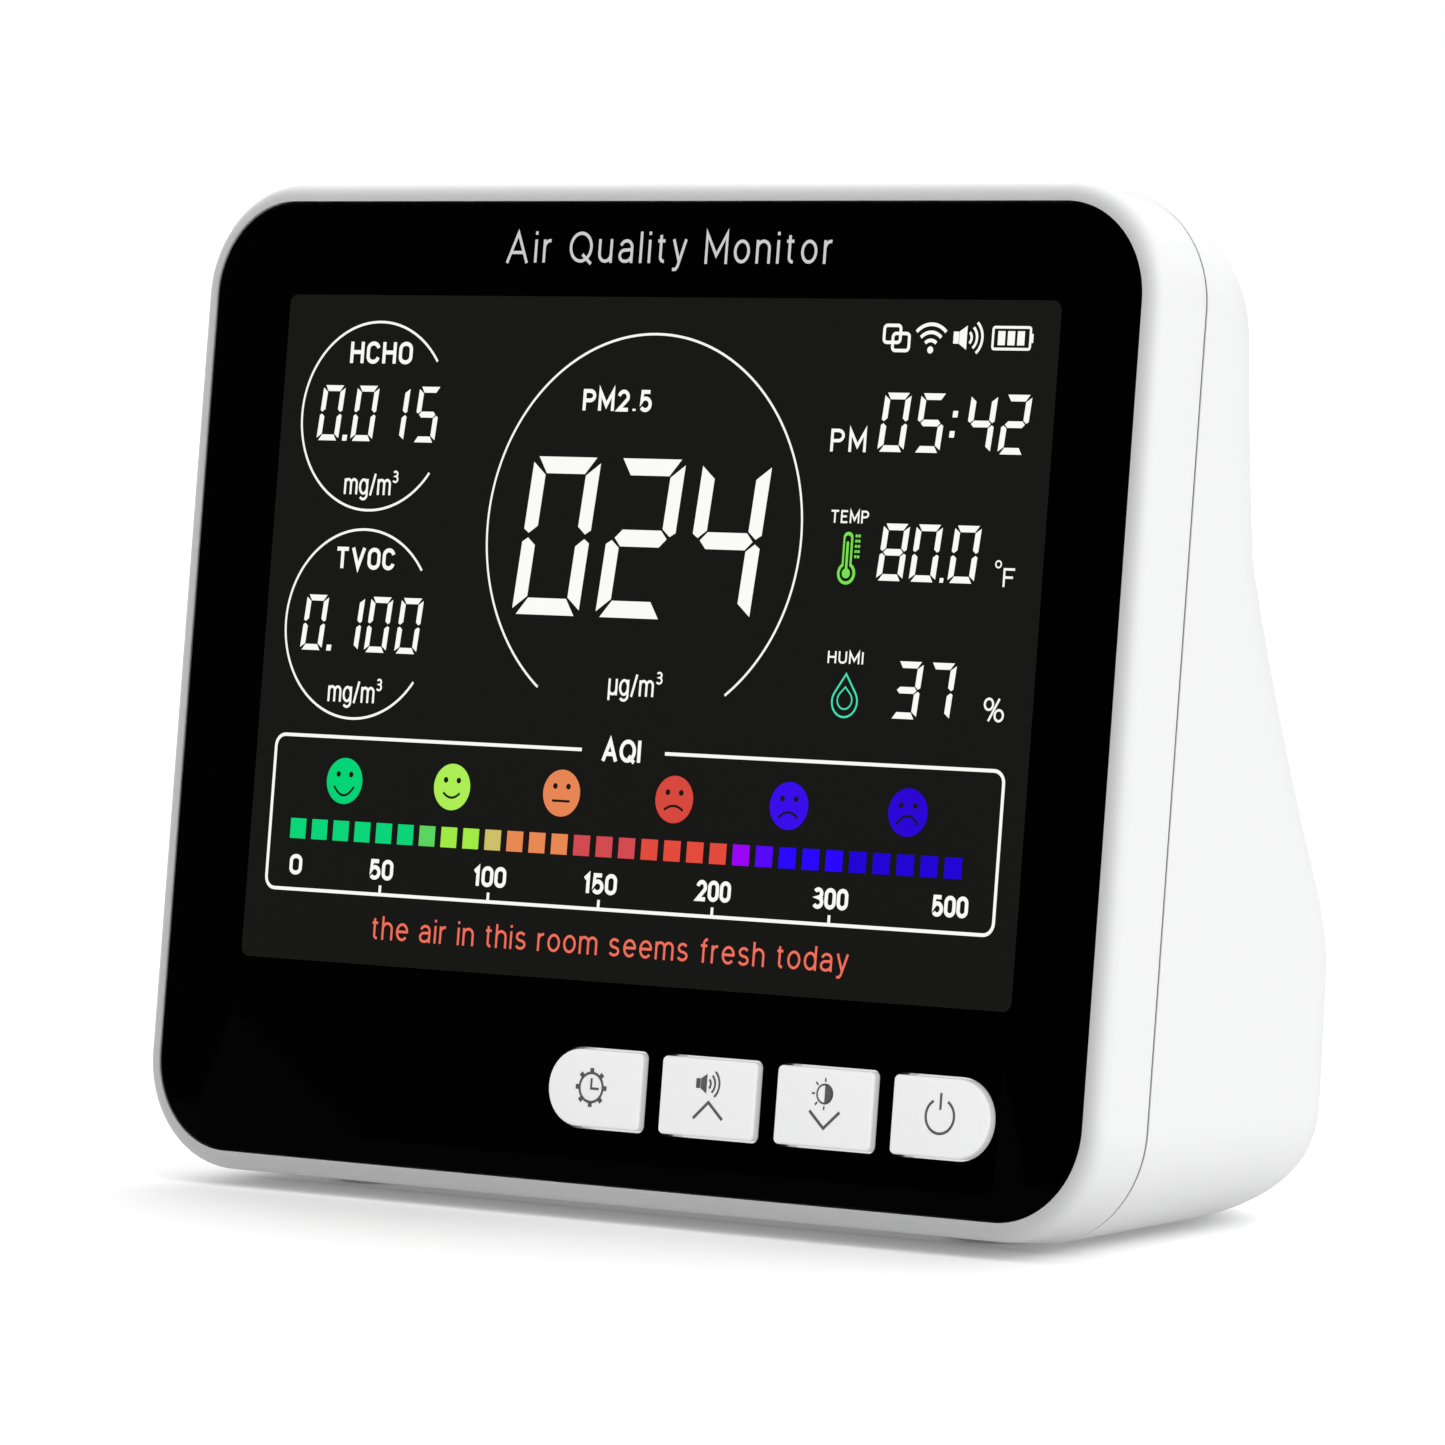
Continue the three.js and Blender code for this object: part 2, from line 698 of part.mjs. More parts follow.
// ---- feet, level with the base ----
const basePoint = new THREE.Vector3(0, PARTING, BACK.floor);
const BASE_Z = basePoint.applyAxisAngle(new THREE.Vector3(1, 0, 0), -LEAN).z;

const footPlaces = () =>
  [FOOT.front, FOOT.rear].flatMap((y) => [
    [-FOOT.x, y],
    [FOOT.x, y],
  ]);

const caseScrewPlaces = () => [
  [-CASE_SCREW.x, CASE_SCREW.y],
  [CASE_SCREW.x, CASE_SCREW.y],
];

function rubberFoot([x, y]) {
  const { radius, thick, recess } = FOOT;
  const low = BASE_Z + recess - thick;
  const profile = [
    [0, low],
    [radius - 0.5, low],
    [radius, low + 0.5],
    [radius, low + thick],
    [0, low + thick],
  ].map(([r, height]) => new THREE.Vector2(r, height));
  return new THREE.LatheGeometry(profile, 16).rotateX(Math.PI / 2).translate(x, y, 0);
}

// ---- finishes ----
const finish = (color, roughness, metalness = 0) => ({ color, roughness, metalness });
const WHITE = finish("#f1f1f0", 0.38);
const BLACK_GLOSS = finish("#050505", 0.06);
const BUTTON_WHITE = finish("#ededee", 0.32);
const BOARD_GREEN = finish("#1d5a35", 0.45);
const METAL = finish("#b9bcbf", 0.3, 1);
const DARK = finish("#1b1b1c", 0.6);
const RUBBER = finish("#bcbcbc", 0.6);
const AMBER = finish("#b9752a", 0.5);
const CLEAR = finish("#e6efef", 0.15);

const monitor = new THREE.Group();
const lean = new THREE.Group();
lean.rotation.x = -LEAN;
monitor.add(lean);

function add(name, geometry, look, parent = lean) {
  const mesh = new THREE.Mesh(geometry, new THREE.MeshStandardMaterial(look));
  mesh.name = name;
  parent.add(mesh);
}

// ---- the assembly ----
const lensBack = LENS.front + LENS.thick;
const lensOutline = (grow) =>
  outline(LENS.width + grow, LENS.height + grow, LENS.corner + grow / 2, 0, LENS.height / 2);

add("front_frame", frontFrame(), WHITE);
add("rear_shell", rearShell(), WHITE);
add(
  "front_lens",
  plate(
    lensOutline(0),
    LENS.front,
    lensBack,
    BUTTONS.map((button) => buttonOutline(button, 0.2)),
  ),
  BLACK_GLOSS,
);
add("lens_tape", plate(lensOutline(-2), lensBack + 0.1, SEAT.front - 0.1, [lensOutline(-6)]), DARK);

for (const button of BUTTONS) {
  add(`button_${button.name}`, buttonCap(button), BUTTON_WHITE);
  add(`switch_plunger_${button.name}`, switchPlunger(button), DARK);
  add(`switch_body_${button.name}`, switchBody(button), METAL);
}
add("button_board", board(BUTTON_BOARD), BOARD_GREEN);

add(
  "lcd_glass",
  displaySheet(GLASS.width, GLASS.height, GLASS.front, GLASS.front + GLASS.thick),
  finish("#1a1a18", 0.1),
);
add(
  "light_guide",
  displaySheet(GLASS.width - 0.6, GLASS.height - 0.6, GLASS.front + GLASS.thick + GAP, TRAY.floor - GAP),
  CLEAR,
);
add("lcd_tray", displayTray(), METAL);

const belowTray = DISPLAY.z - GLASS.height / 2 - GAP - TRAY.wall;
const behindBoard = BOARD_BACK + 1;
const displayFlexPath = [
  [6, belowTray - 0.5],
  [behindBoard, belowTray - 0.5],
  [behindBoard, belowTray + 7],
];
add("display_flex", ribbon(displayFlexPath, -10, 24, 0.3), AMBER);
const buttonFlexDepth = BUTTON_BOARD.front + BUTTON_BOARD.thick + 0.5;
const buttonFlexPath = [
  [buttonFlexDepth, 6],
  [buttonFlexDepth, belowTray - 0.6],
  [behindBoard, belowTray - 0.6],
  [behindBoard, belowTray + 6],
];
add("button_flex", ribbon(buttonFlexPath, 38, 9, 0.3), AMBER);

add("main_board", mainBoard(), BOARD_GREEN);
add("processor_chip", onBoard(14, 14, 1.4, 4, 64), DARK);
add("wifi_module", onBoard(16, 22, 2.8, 34, 74), METAL);
add("formaldehyde_sensor", gasCan(7.5, 7, -34, 76), METAL);
add("voc_sensor", chipWithPort(5, 1.8, 1.2, -12, 82), METAL);
add("humidity_sensor", chipWithPort(4, 1.3, 0.8, 10, 84), DARK);

add("sensor_case", sensorCase(), METAL);
add("sensor_lid", sensorLid(), METAL);
add("fan_rotor", fanRotor(), DARK);
add("inlet_duct", inletDuct(), DARK);

add("speaker", speakerUnit(), DARK);
add("battery_cell", plate(
  outline(BATTERY.width, BATTERY.height, 2, BATTERY.x, BATTERY.z),
  BATTERY.front,
  BATTERY.back,
), finish("#3f6fa8", 0.4));
add("battery_clip", batteryClip(), DARK);
add("battery_lead", batteryLead(), finish("#b3261e", 0.5));
add("power_board", board(POWER_BOARD), BOARD_GREEN);
add("usb_c_socket", usbSocket(), METAL);
add("vent_mesh", ventMesh(), DARK);

boardScrewPlaces().forEach((place, i) => add(`board_screw_${i + 1}`, boardScrew(place), METAL));
caseScrewPlaces().forEach((place, i) => add(`case_screw_${i + 1}`, caseScrew(place), METAL, monitor));
footPlaces().forEach((place, i) => add(`rubber_foot_${i + 1}`, rubberFoot(place), RUBBER, monitor));

// The part's origin is the middle of its bounding box's base.
const box = new THREE.Box3().setFromObject(monitor, true);
const middle = box.getCenter(new THREE.Vector3());
for (const piece of monitor.children) {
  piece.position.x -= middle.x;
  piece.position.y -= middle.y;
  piece.position.z -= box.min.z;
}

export default monitor;
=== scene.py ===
# Looks for the desktop air quality monitor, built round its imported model.
#
# Most pieces are drawn in the lens's own axes, in millimetres: X to the right, Y into the case
# (depth) and Z up along the lens, from the middle of the lens's bottom edge. TO_FRAME turns these
# into the model's frame, in metres.
import math

import bmesh
import bpy
from mathutils import Matrix, Vector
from mathutils.bvhtree import BVHTree
from mathutils.interpolate import poly_3d_calc

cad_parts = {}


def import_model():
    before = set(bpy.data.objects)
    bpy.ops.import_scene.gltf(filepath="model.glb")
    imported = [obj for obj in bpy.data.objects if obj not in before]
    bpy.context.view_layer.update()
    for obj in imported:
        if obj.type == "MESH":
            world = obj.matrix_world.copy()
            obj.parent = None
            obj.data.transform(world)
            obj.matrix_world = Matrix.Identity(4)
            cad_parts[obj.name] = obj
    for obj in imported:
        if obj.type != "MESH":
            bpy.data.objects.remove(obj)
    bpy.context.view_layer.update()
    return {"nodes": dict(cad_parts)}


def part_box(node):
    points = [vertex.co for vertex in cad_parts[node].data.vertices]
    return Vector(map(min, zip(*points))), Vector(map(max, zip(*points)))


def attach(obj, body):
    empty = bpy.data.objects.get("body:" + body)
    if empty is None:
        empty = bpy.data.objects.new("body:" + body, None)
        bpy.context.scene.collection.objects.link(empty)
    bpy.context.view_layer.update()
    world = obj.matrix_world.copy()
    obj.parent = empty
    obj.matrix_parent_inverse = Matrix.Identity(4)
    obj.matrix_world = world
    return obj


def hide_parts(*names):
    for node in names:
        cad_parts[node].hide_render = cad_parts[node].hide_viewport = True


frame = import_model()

# ---- driving dimensions, millimetres: the same as the model's ----
LEAN = math.radians(7)
GAP = 0.3
LENS = dict(width=118, height=99.8, corner=9.65, front=0.1, thick=1.5)
RIM = dict(side=2, nose=1.9, gap=0.15)
PARTING = 8.8
WALL = 2.2
LIP = 0.08  # rounding of both edges at the parting line
SEAT = dict(front=2.3, thick=1.5)
BACK = dict(
    floor=-2, height=103.8, side=61, corner=11.7, top_corner=14, corner_growth=14,
    plan=18, plan_share=0.75, draft=0.01, base_depth=44.3, kink_depth=43.1, top_depth=14.1,
    kink_height=29.6, sweep=1.46, kink_softness=2.5, top_round=11.3, base_round=7.4,
)
DISPLAY = dict(x=0.45, z=55.25, width=98.6, height=69.7)
BUTTON = dict(height=7.85, z=9.62, proud=0.6, corner=0.55, back=5, flange=0.8)
BUTTONS = [
    dict(name="timer", x=-0.39, width=11.9, round="left"),
    dict(name="up", x=13.97, width=11.95, round="none"),
    dict(name="down", x=28.4, width=11.9, round="none"),
    dict(name="power", x=42.63, width=11.85, round="right"),
]
CASE_SCREW = dict(x=30, y=15, head=2.3, sunk=1.3, shank=1.1, length=4.4)
LUG = dict(width=8, deep=7, tall=3.6, arm=1.5, arm_z=2.2)
HOOK = dict(places=(-32, 0, 32), width=7, top=98.2, thick=1.3, end=14.2, nib=0.8, nib_deep=1.2,
            rib=2.5, rib_front=11.4)
DUCT = dict(x=-33, z=20, width=18)
SPEAKER = dict(x=29, z=18)
USB = dict(x=0, z=11, width=9, height=3.3, front=44.2, back=51.8, wall=0.35)
VENT = dict(rows=6, lowest=58, pitch=4.6, slot=1.9, length=22, columns=(-27, 0, 27))
INLET = dict(slot=1.8, pitch=3.4, rows=4)
FOOT = dict(radius=4, thick=1.6, recess=0.8, x=40, front=14, rear=40)

MM = 0.001
lens_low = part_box("front_lens")[0] / MM
ORIGIN = Vector((
    0,
    lens_low.y - LENS["front"] * math.cos(LEAN),
    lens_low.z + (LENS["front"] + LENS["thick"]) * math.sin(LEAN),
))
LEVEL = Matrix.Scale(MM, 4) @ Matrix.Translation(ORIGIN)  # for what stands level
TO_FRAME = LEVEL @ Matrix.Rotation(-LEAN, 4, "X")
base_point = Matrix.Rotation(-LEAN, 4, "X") @ Vector((0, PARTING, BACK["floor"]))
BASE_Z = base_point.z


# ---- meshes ----
def new_object(name, verts, faces):
    mesh = bpy.data.meshes.new(name)
    mesh.from_pydata([tuple(v) for v in verts], [], faces)
    mesh.update()
    obj = bpy.data.objects.new(name, mesh)
    bpy.context.scene.collection.objects.link(obj)
    return obj


def solid(name, rings, tube=False):
    """A closed skin over rings of points, capped unless it is a tube."""
    count = len(rings[0])
    verts = [p for ring in rings for p in ring]
    faces = []
    for i in range(len(rings) if tube else len(rings) - 1):
        low, high = i * count, (i + 1) % len(rings) * count
        for j in range(count):
            k = (j + 1) % count
            faces.append((low + j, low + k, high + k, high + j))
    if not tube:
        last = (len(rings) - 1) * count
        faces.append(tuple(range(count)))
        faces.append(tuple(last + j for j in range(count)))
    obj = new_object(name, verts, faces)
    outward(obj.data)
    return obj


def outward(mesh, triangles=False):
    """Merges doubled points and turns every face outwards."""
    bm = bmesh.new()
    bm.from_mesh(mesh)
    bmesh.ops.remove_doubles(bm, verts=bm.verts, dist=1e-5)
    if triangles:
        bmesh.ops.triangulate(bm, faces=bm.faces)
    bmesh.ops.recalc_face_normals(bm, faces=bm.faces)
    bm.to_mesh(mesh)
    bm.free()


def joined(name, parts):
    """One object out of several that don't meet."""
    bm = bmesh.new()
    for part in parts:
        bm.from_mesh(part.data)
        bpy.data.objects.remove(part)
    mesh = bpy.data.meshes.new(name)
    bm.to_mesh(mesh)
    bm.free()
    obj = bpy.data.objects.new(name, mesh)
    bpy.context.scene.collection.objects.link(obj)
    return obj


def combine(obj, other, operation):
    """Joins two closed solids or cuts one by the other, and uses both up."""
    for mesh in (obj.data, other.data):
        outward(mesh, triangles=True)
    modifier = obj.modifiers.new("combine", "BOOLEAN")
    modifier.object, modifier.operation, modifier.solver = other, operation, "MANIFOLD"
    graph = bpy.context.evaluated_depsgraph_get()
    mesh = bpy.data.meshes.new_from_object(obj.evaluated_get(graph))
    obj.modifiers.clear()
    obj.data = mesh
    bpy.data.objects.remove(other)
    return obj


def arc(radius, x, z, start, end, steps):
    turn = [start + (end - start) * i / steps for i in range(steps + 1)]
    return [(x + radius * math.cos(a), z + radius * math.sin(a)) for a in turn]


def outline(width, height, corners, x=0, z=0, steps=12):
    """A rounded rectangle. Corners are high right, high left, low left and low right."""
    radii = corners if isinstance(corners, (list, tuple)) else [corners] * 4
    points = []
    for corner, radius in enumerate(radii):
        right = 1 if corner in (0, 3) else -1
        up = 1 if corner < 2 else -1
        start = corner * math.pi / 2
        cx, cz = x + right * (width / 2 - radius), z + up * (height / 2 - radius)
        points += arc(radius, cx, cz, start, start + math.pi / 2, steps)
    return points


def circle(radius, x, z, sides):
    return arc(radius, x, z, 0, 2 * math.pi, sides)[:-1]


def at_depth(points, depth):
    return [(x, depth, z) for x, z in points]


def plate(name, points, front, back):
    return solid(name, [at_depth(points, front), at_depth(points, back)])


def rounding(edge, steps=5):
    """Pairs of how far in and how far down a rounded edge is, from its face to its side."""
    turn = [i / steps * math.pi / 2 for i in range(steps + 1)]
    return [(edge * (1 - math.sin(a)), edge * (1 - math.cos(a))) for a in turn]


def soft_plate(name, shape, front, back, edge):
    """A plate whose front edge is rounded. shape(grow) gives its outline, moved out by grow."""
    rings = [at_depth(shape(-inset), front + down) for inset, down in rounding(edge)]
    return solid(name, rings + [at_depth(shape(0), back)])


def turned(name, profile, sides):
    """A piece turned about the upright axis, from pairs of radius and height."""
    turn = [2 * math.pi * i / sides for i in range(sides)]
    rings = [[(r * math.cos(a), r * math.sin(a), h) for a in turn] for r, h in profile]
    return solid(name, rings)


def shade(obj, angle):
    obj.data.shade_smooth()
    obj.data.set_sharp_from_angle(angle=math.radians(angle))


def triangle_net(obj):
    """The object's triangles, for finding the nearest point and its smooth normal."""
    mesh = obj.data
    outward(mesh, triangles=True)
    mesh.shade_smooth()
    verts = [v.co.copy() for v in mesh.vertices]
    normals = [v.normal.copy() for v in mesh.vertices]
    faces = [tuple(p.vertices) for p in mesh.polygons]
    return BVHTree.FromPolygons(verts, faces), verts, normals, faces


def borrow_normals(obj, net):
    """Corners of faces that lie on the uncut skin take its smooth normals."""
    near = 0.02  # how far off the uncut skin a face may lie
    tree, verts, normals, faces = net
    mesh = obj.data
    corner_normals = [c.vector.copy() for c in mesh.corner_normals]
    for face in mesh.polygons:
        spot, normal, _, distance = tree.find_nearest(face.center)
        if distance > near or normal.dot(face.normal) < 0.9:
            continue
        for corner in face.loop_indices:
            point = mesh.vertices[mesh.loops[corner].vertex_index].co
            spot, _, index, distance = tree.find_nearest(point)
            if distance > 3 * near:
                continue
            around = faces[index]
            share = poly_3d_calc([verts[i] for i in around], spot)
            smooth = sum((normals[i] * w for i, w in zip(around, share)), Vector())
            corner_normals[corner] = smooth.normalized()
    mesh.normals_split_custom_set(corner_normals)


def settle(obj, body, slot, look, *nodes):
    """Puts a finished piece in the model's frame and says what it rides on and stands for."""
    obj.data.transform(TO_FRAME)
    obj.data.materials.clear()
    obj.data.materials.append(look)
    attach(obj, body)
    if nodes:
        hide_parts(*nodes)
    return obj


# ---- materials ----
def principled(made):
    return made.node_tree.nodes["Principled BSDF"]


def material(name, colour, roughness, metallic=0.0, specular=0.5, glow=None):
    made = bpy.data.materials.new(name)
    made.use_nodes = True
    shader = principled(made)
    shader.inputs["Base Color"].default_value = (*colour, 1)
    shader.inputs["Roughness"].default_value = roughness
    shader.inputs["Metallic"].default_value = metallic
    shader.inputs["Specular IOR Level"].default_value = specular
    if glow:
        shader.inputs["Emission Color"].default_value = (*glow, 1)
        shader.inputs["Emission Strength"].default_value = 1
    return made


def node(made, kind, **settings):
    """A new node, with its inputs or its own settings given by name."""
    added = made.node_tree.nodes.new(kind)
    for key, value in settings.items():
        if key in added.inputs:
            added.inputs[key].default_value = value
        else:
            setattr(added, key, value)
    return added


def link(made, source, target):
    made.node_tree.links.new(source, target)


def object_noise(made, per_metre, detail=2.0, stretch=(1, 1, 1)):
    where = node(made, "ShaderNodeTexCoord")
    scaled = node(made, "ShaderNodeMapping")
    scaled.inputs["Scale"].default_value = stretch
    noise = node(made, "ShaderNodeTexNoise", Scale=per_metre, Detail=detail)
    link(made, where.outputs["Object"], scaled.inputs["Vector"])
    link(made, scaled.outputs["Vector"], noise.inputs["Vector"])
    return noise.outputs["Fac"]


def vary_colour(made, source, low, high):
    """Base colour that drifts between two close colours."""
    mix = node(made, "ShaderNodeMix", data_type="RGBA")
    mix.inputs["A"].default_value = (*low, 1)
    mix.inputs["B"].default_value = (*high, 1)
    link(made, source, mix.inputs["Factor"])
    link(made, mix.outputs["Result"], principled(made).inputs["Base Color"])


def vary_roughness(made, source, low, high):
    spread = node(made, "ShaderNodeMapRange")
    spread.inputs["To Min"].default_value = low
    spread.inputs["To Max"].default_value = high
    link(made, source, spread.inputs["Value"])
    link(made, spread.outputs["Result"], principled(made).inputs["Roughness"])


def add_bump(made, source, height, strength):
    bump = node(made, "ShaderNodeBump", Strength=strength, Distance=height)
    link(made, source, bump.inputs["Height"])
    link(made, bump.outputs["Normal"], principled(made).inputs["Normal"])


def moulded(name, colour, roughness, grain=6000, grain_height=4e-6, drift=0.02, specular=0.5):
    """Moulded plastic: a fine spark-eroded grain and a slight unevenness of colour and gloss."""
    made = material(name, colour, roughness, specular=specular)
    low, high = (tuple(c * (1 + change) for c in colour) for change in (-drift, drift))
    vary_colour(made, object_noise(made, 25), low, high)
    vary_roughness(made, object_noise(made, 90, 4.0), roughness - 0.04, roughness + 0.04)
    add_bump(made, object_noise(made, grain, 1.0), grain_height, 0.6)
    return made


def brushed(name, colour, roughness, across=(1, 1, 60)):
    made = material(name, colour, roughness, metallic=1.0)
    streaks = object_noise(made, 120, 3.0, across)
    vary_roughness(made, streaks, roughness - 0.08, roughness + 0.12)
    low = tuple(c * 0.9 for c in colour)
    vary_colour(made, object_noise(made, 60, 3.0), low, colour)
    add_bump(made, streaks, 2e-6, 0.5)
    return made


# strength of the painted glow on the button caps: a constant emission, though the caps are no lamp
CAP_PAINTED_GLOW = 0.4


def cap_with_painted_light():
    """Button plastic with painted light: a painted glow, a constant white emission that brightens the whole
    cap, and painted shade, a base colour that turns grey down its sides as each face turns away from the
    front.
    """
    made = moulded("cap_white_painted_light", (0.84, 0.84, 0.842), 0.3, grain_height=2e-6, drift=0.006)
    shader = principled(made)
    # painted glow: a constant white emission over the whole cap
    shader.inputs["Emission Color"].default_value = (1, 1, 1, 1)
    shader.inputs["Emission Strength"].default_value = CAP_PAINTED_GLOW
    plain = shader.inputs["Base Color"].links[0].from_socket
    # painted shade: the base colour goes from plain white on faces toward the front to grey on the sides and
    # back
    painted_shade_facing = node(made, "ShaderNodeVectorMath", operation="DOT_PRODUCT")
    painted_shade_facing.inputs[1].default_value = (0, -math.cos(LEAN), math.sin(LEAN))
    link(made, node(made, "ShaderNodeNewGeometry").outputs["Normal"], painted_shade_facing.inputs[0])
    mix = node(made, "ShaderNodeMix", data_type="RGBA")
    link(made, painted_shade_facing.outputs["Value"], mix.inputs["Factor"])
    mix.inputs["A"].default_value = (0.3, 0.3, 0.3, 1)
    link(made, plain, mix.inputs["B"])
    link(made, mix.outputs["Result"], shader.inputs["Base Color"])
    return made


CASE_WHITE = moulded("case_white", (0.86, 0.86, 0.862), 0.34, drift=0.006)
CAP_PAINTED_LIGHT = cap_with_painted_light()
LENS_BLACK = moulded("lens_black", (0.0003, 0.0003, 0.0003), 0.06, 300, 1e-7, specular=0.015)
WINDOW_BLACK = moulded("window_black", (0.0165, 0.0165, 0.0145), 0.06, 300, 1e-7, specular=0.015)
DARK_PLASTIC = moulded("dark_plastic", (0.02, 0.02, 0.021), 0.5)
SHEET_BLACK = moulded("sheet_black", (0.012, 0.012, 0.012), 0.8)
# painted shade: the grey of the ring sunk in the parting gap, standing in for the gap's shadow
GAP_SHADE_GREY = moulded("gap_shade_grey", (0.1, 0.1, 0.1), 0.7)
RUBBER = moulded("foot_rubber", (0.5, 0.5, 0.5), 0.6, 2500, 2e-5, 0.06)
GUIDE = moulded("guide_clear", (0.78, 0.84, 0.84), 0.2)
AMBER = moulded("flex_amber", (0.46, 0.17, 0.03), 0.35, drift=0.1)
BATTERY_BLUE = moulded("battery_blue", (0.05, 0.16, 0.36), 0.28, 900, 2e-5, 0.1)
LEAD_RED = moulded("lead_red", (0.42, 0.015, 0.012), 0.5, 900, 2e-5, 0.1)
STEEL = brushed("can_steel", (0.56, 0.57, 0.58), 0.32)
SCREW_STEEL = brushed("screw_steel", (0.5, 0.5, 0.5), 0.35, (1, 1, 1))
GOLD = brushed("contact_gold", (0.8, 0.56, 0.2), 0.25)
ICON_GREY = moulded("icon_grey", (0.16, 0.16, 0.165), 0.5)


def board_material():
    """Green solder mask over fine copper tracks."""
    made = material("board_green", (0.02, 0.12, 0.05), 0.35)
    where = node(made, "ShaderNodeTexCoord")
    tracks = node(made, "ShaderNodeTexBrick", Scale=260.0, offset=0.3)
    tracks.inputs["Color1"].default_value = (0.016, 0.11, 0.045, 1)
    tracks.inputs["Color2"].default_value = (0.02, 0.14, 0.055, 1)
    tracks.inputs["Mortar"].default_value = (0.045, 0.22, 0.08, 1)
    tracks.inputs["Mortar Size"].default_value = 0.03
    turned_round = node(made, "ShaderNodeMapping")
    turned_round.inputs["Rotation"].default_value = (math.pi / 2, 0, 0)
    link(made, where.outputs["Object"], turned_round.inputs["Vector"])
    link(made, turned_round.outputs["Vector"], tracks.inputs["Vector"])
    link(made, tracks.outputs["Color"], principled(made).inputs["Base Color"])
    add_bump(made, tracks.outputs["Fac"], 3e-5, 0.4)
    vary_roughness(made, object_noise(made, 200), 0.3, 0.42)
    return made


def mesh_material():
    """A woven dust mesh: dark threads crossing over darker holes."""
    made = material("mesh_black", (0.02, 0.02, 0.02), 0.75)
    where = node(made, "ShaderNodeTexCoord")
    top = node(made, "ShaderNodeMath", operation="MAXIMUM")
    for i, direction in enumerate(("X", "Z")):
        wave = node(made, "ShaderNodeTexWave", bands_direction=direction, Scale=900.0)
        link(made, where.outputs["Object"], wave.inputs["Vector"])
        link(made, wave.outputs["Fac"], top.inputs[i])
    vary_colour(made, top.outputs["Value"], (0.004, 0.004, 0.004), (0.05, 0.05, 0.05))
    add_bump(made, top.outputs["Value"], 2e-4, 0.8)
    return made


def linear(red, green, blue):
    """A display colour, 0 to 255, as linear light."""
    shares = [level / 255 for level in (red, green, blue)]
    return tuple(s / 12.92 if s < 0.04 else ((s + 0.055) / 1.055) ** 2.4 for s in shares)


def glowing(name, *colour):
    """A lit segment of the display, in a display colour, behind a faint grain. The lens title takes it too:
    there it is a painted glow on printed lettering.
    """
    made = material(name, (0.002, 0.002, 0.002), 0.12, specular=0.015, glow=linear(*colour))
    vary_roughness(made, object_noise(made, 900), 0.1, 0.16)
    vary_colour(made, object_noise(made, 400), (0.001, 0.001, 0.001), (0.003, 0.003, 0.003))
    return made


BOARD_GREEN = board_material()
MESH_BLACK = mesh_material()


# ---- rear shell ----
def corner_inset(distance, radius):
    if distance >= radius:
        return 0
    return radius - math.sqrt(max(0, radius**2 - (radius - distance) ** 2))


def back_depth(height):
    lower = BACK["base_depth"] - (BACK["base_depth"] - BACK["kink_depth"]) * height / BACK["kink_height"]
    along = (height - BACK["kink_height"]) / (BACK["height"] - BACK["kink_height"])
    rise = BACK["kink_depth"] - BACK["top_depth"]
    upper = BACK["top_depth"] + rise * max(0, 1 - along) ** BACK["sweep"]
    soft = BACK["kink_softness"]
    mix = max(soft - abs(lower - upper), 0) / soft
    return min(lower, upper) - mix**2 * soft / 4


def back_point(x, distance, height):
    rise = LEAN * (1 - height / BACK["height"])
    return (
        x,
        PARTING + distance * math.cos(rise),
        BACK["floor"] + height + distance * math.sin(rise),
    )


def back_section(height, inset, start):
    """The shell's outline at one height, moved in by inset, from its depth start back and round again."""
    steps = 20
    from_top = BACK["height"] - inset - height
    from_base = height - inset
    base_cut = corner_inset(from_base, BACK["corner"] - inset)

    def half_at(distance):
        growth = min(max(distance / BACK["corner_growth"], 0), 1)
        top_corner = BACK["corner"] + (BACK["top_corner"] - BACK["corner"]) * growth
        return BACK["side"] - inset - base_cut - corner_inset(from_top, top_corner - inset)

    depth = (
        back_depth(height)
        - inset
        - corner_inset(from_top, BACK["top_round"] - inset)
        - corner_inset(from_base, BACK["base_round"] - inset)
    )
    radius = min(BACK["plan"] - inset, depth * BACK["plan_share"])
    # the side runs straight back from the parting plane, then turns the corner
    first = depth - radius
    straight = [start + (first - start) * (i / 6) ** 1.3 for i in range(6)]
    right = [(half_at(d) * (1 - BACK["draft"] * max(d, 0) / BACK["side"]), d) for d in straight]
    for i in range(steps + 1):
        angle = i / steps * math.pi / 2
        distance = depth - radius * (1 - math.sin(angle))
        draft = 1 - BACK["draft"] * distance / BACK["side"]
        right.append(((half_at(distance) - radius * (1 - math.cos(angle))) * draft, distance))
    left = [(-x, distance) for x, distance in reversed(right)]
    return [back_point(x, distance, height) for x, distance in right + left]


def back_heights(inset):
    """Heights of the sections, closer together at the rounded edges and at the kink."""
    low, high = inset, BACK["height"] - inset
    ease = [1 - math.cos(i / 16 * math.pi / 2) for i in range(17)]
    bottom = [low + t * (BACK["corner"] - inset) for t in ease]
    top = [high - t * (BACK["top_corner"] - inset) for t in ease][::-1]
    steps = 44
    middle = [bottom[-1] + (top[0] - bottom[-1]) * i / steps for i in range(1, steps)]
    kink = [BACK["kink_height"] + d for d in (-1.5, -0.75, 0, 0.75, 1.5)]
    middle = sorted(h for h in middle if all(abs(h - k) > 0.4 for k in kink)) + kink
    return bottom + sorted(middle) + top


def back_solid(name, inset, start):
    return solid(name, [back_section(h, inset, start) for h in back_heights(inset)])


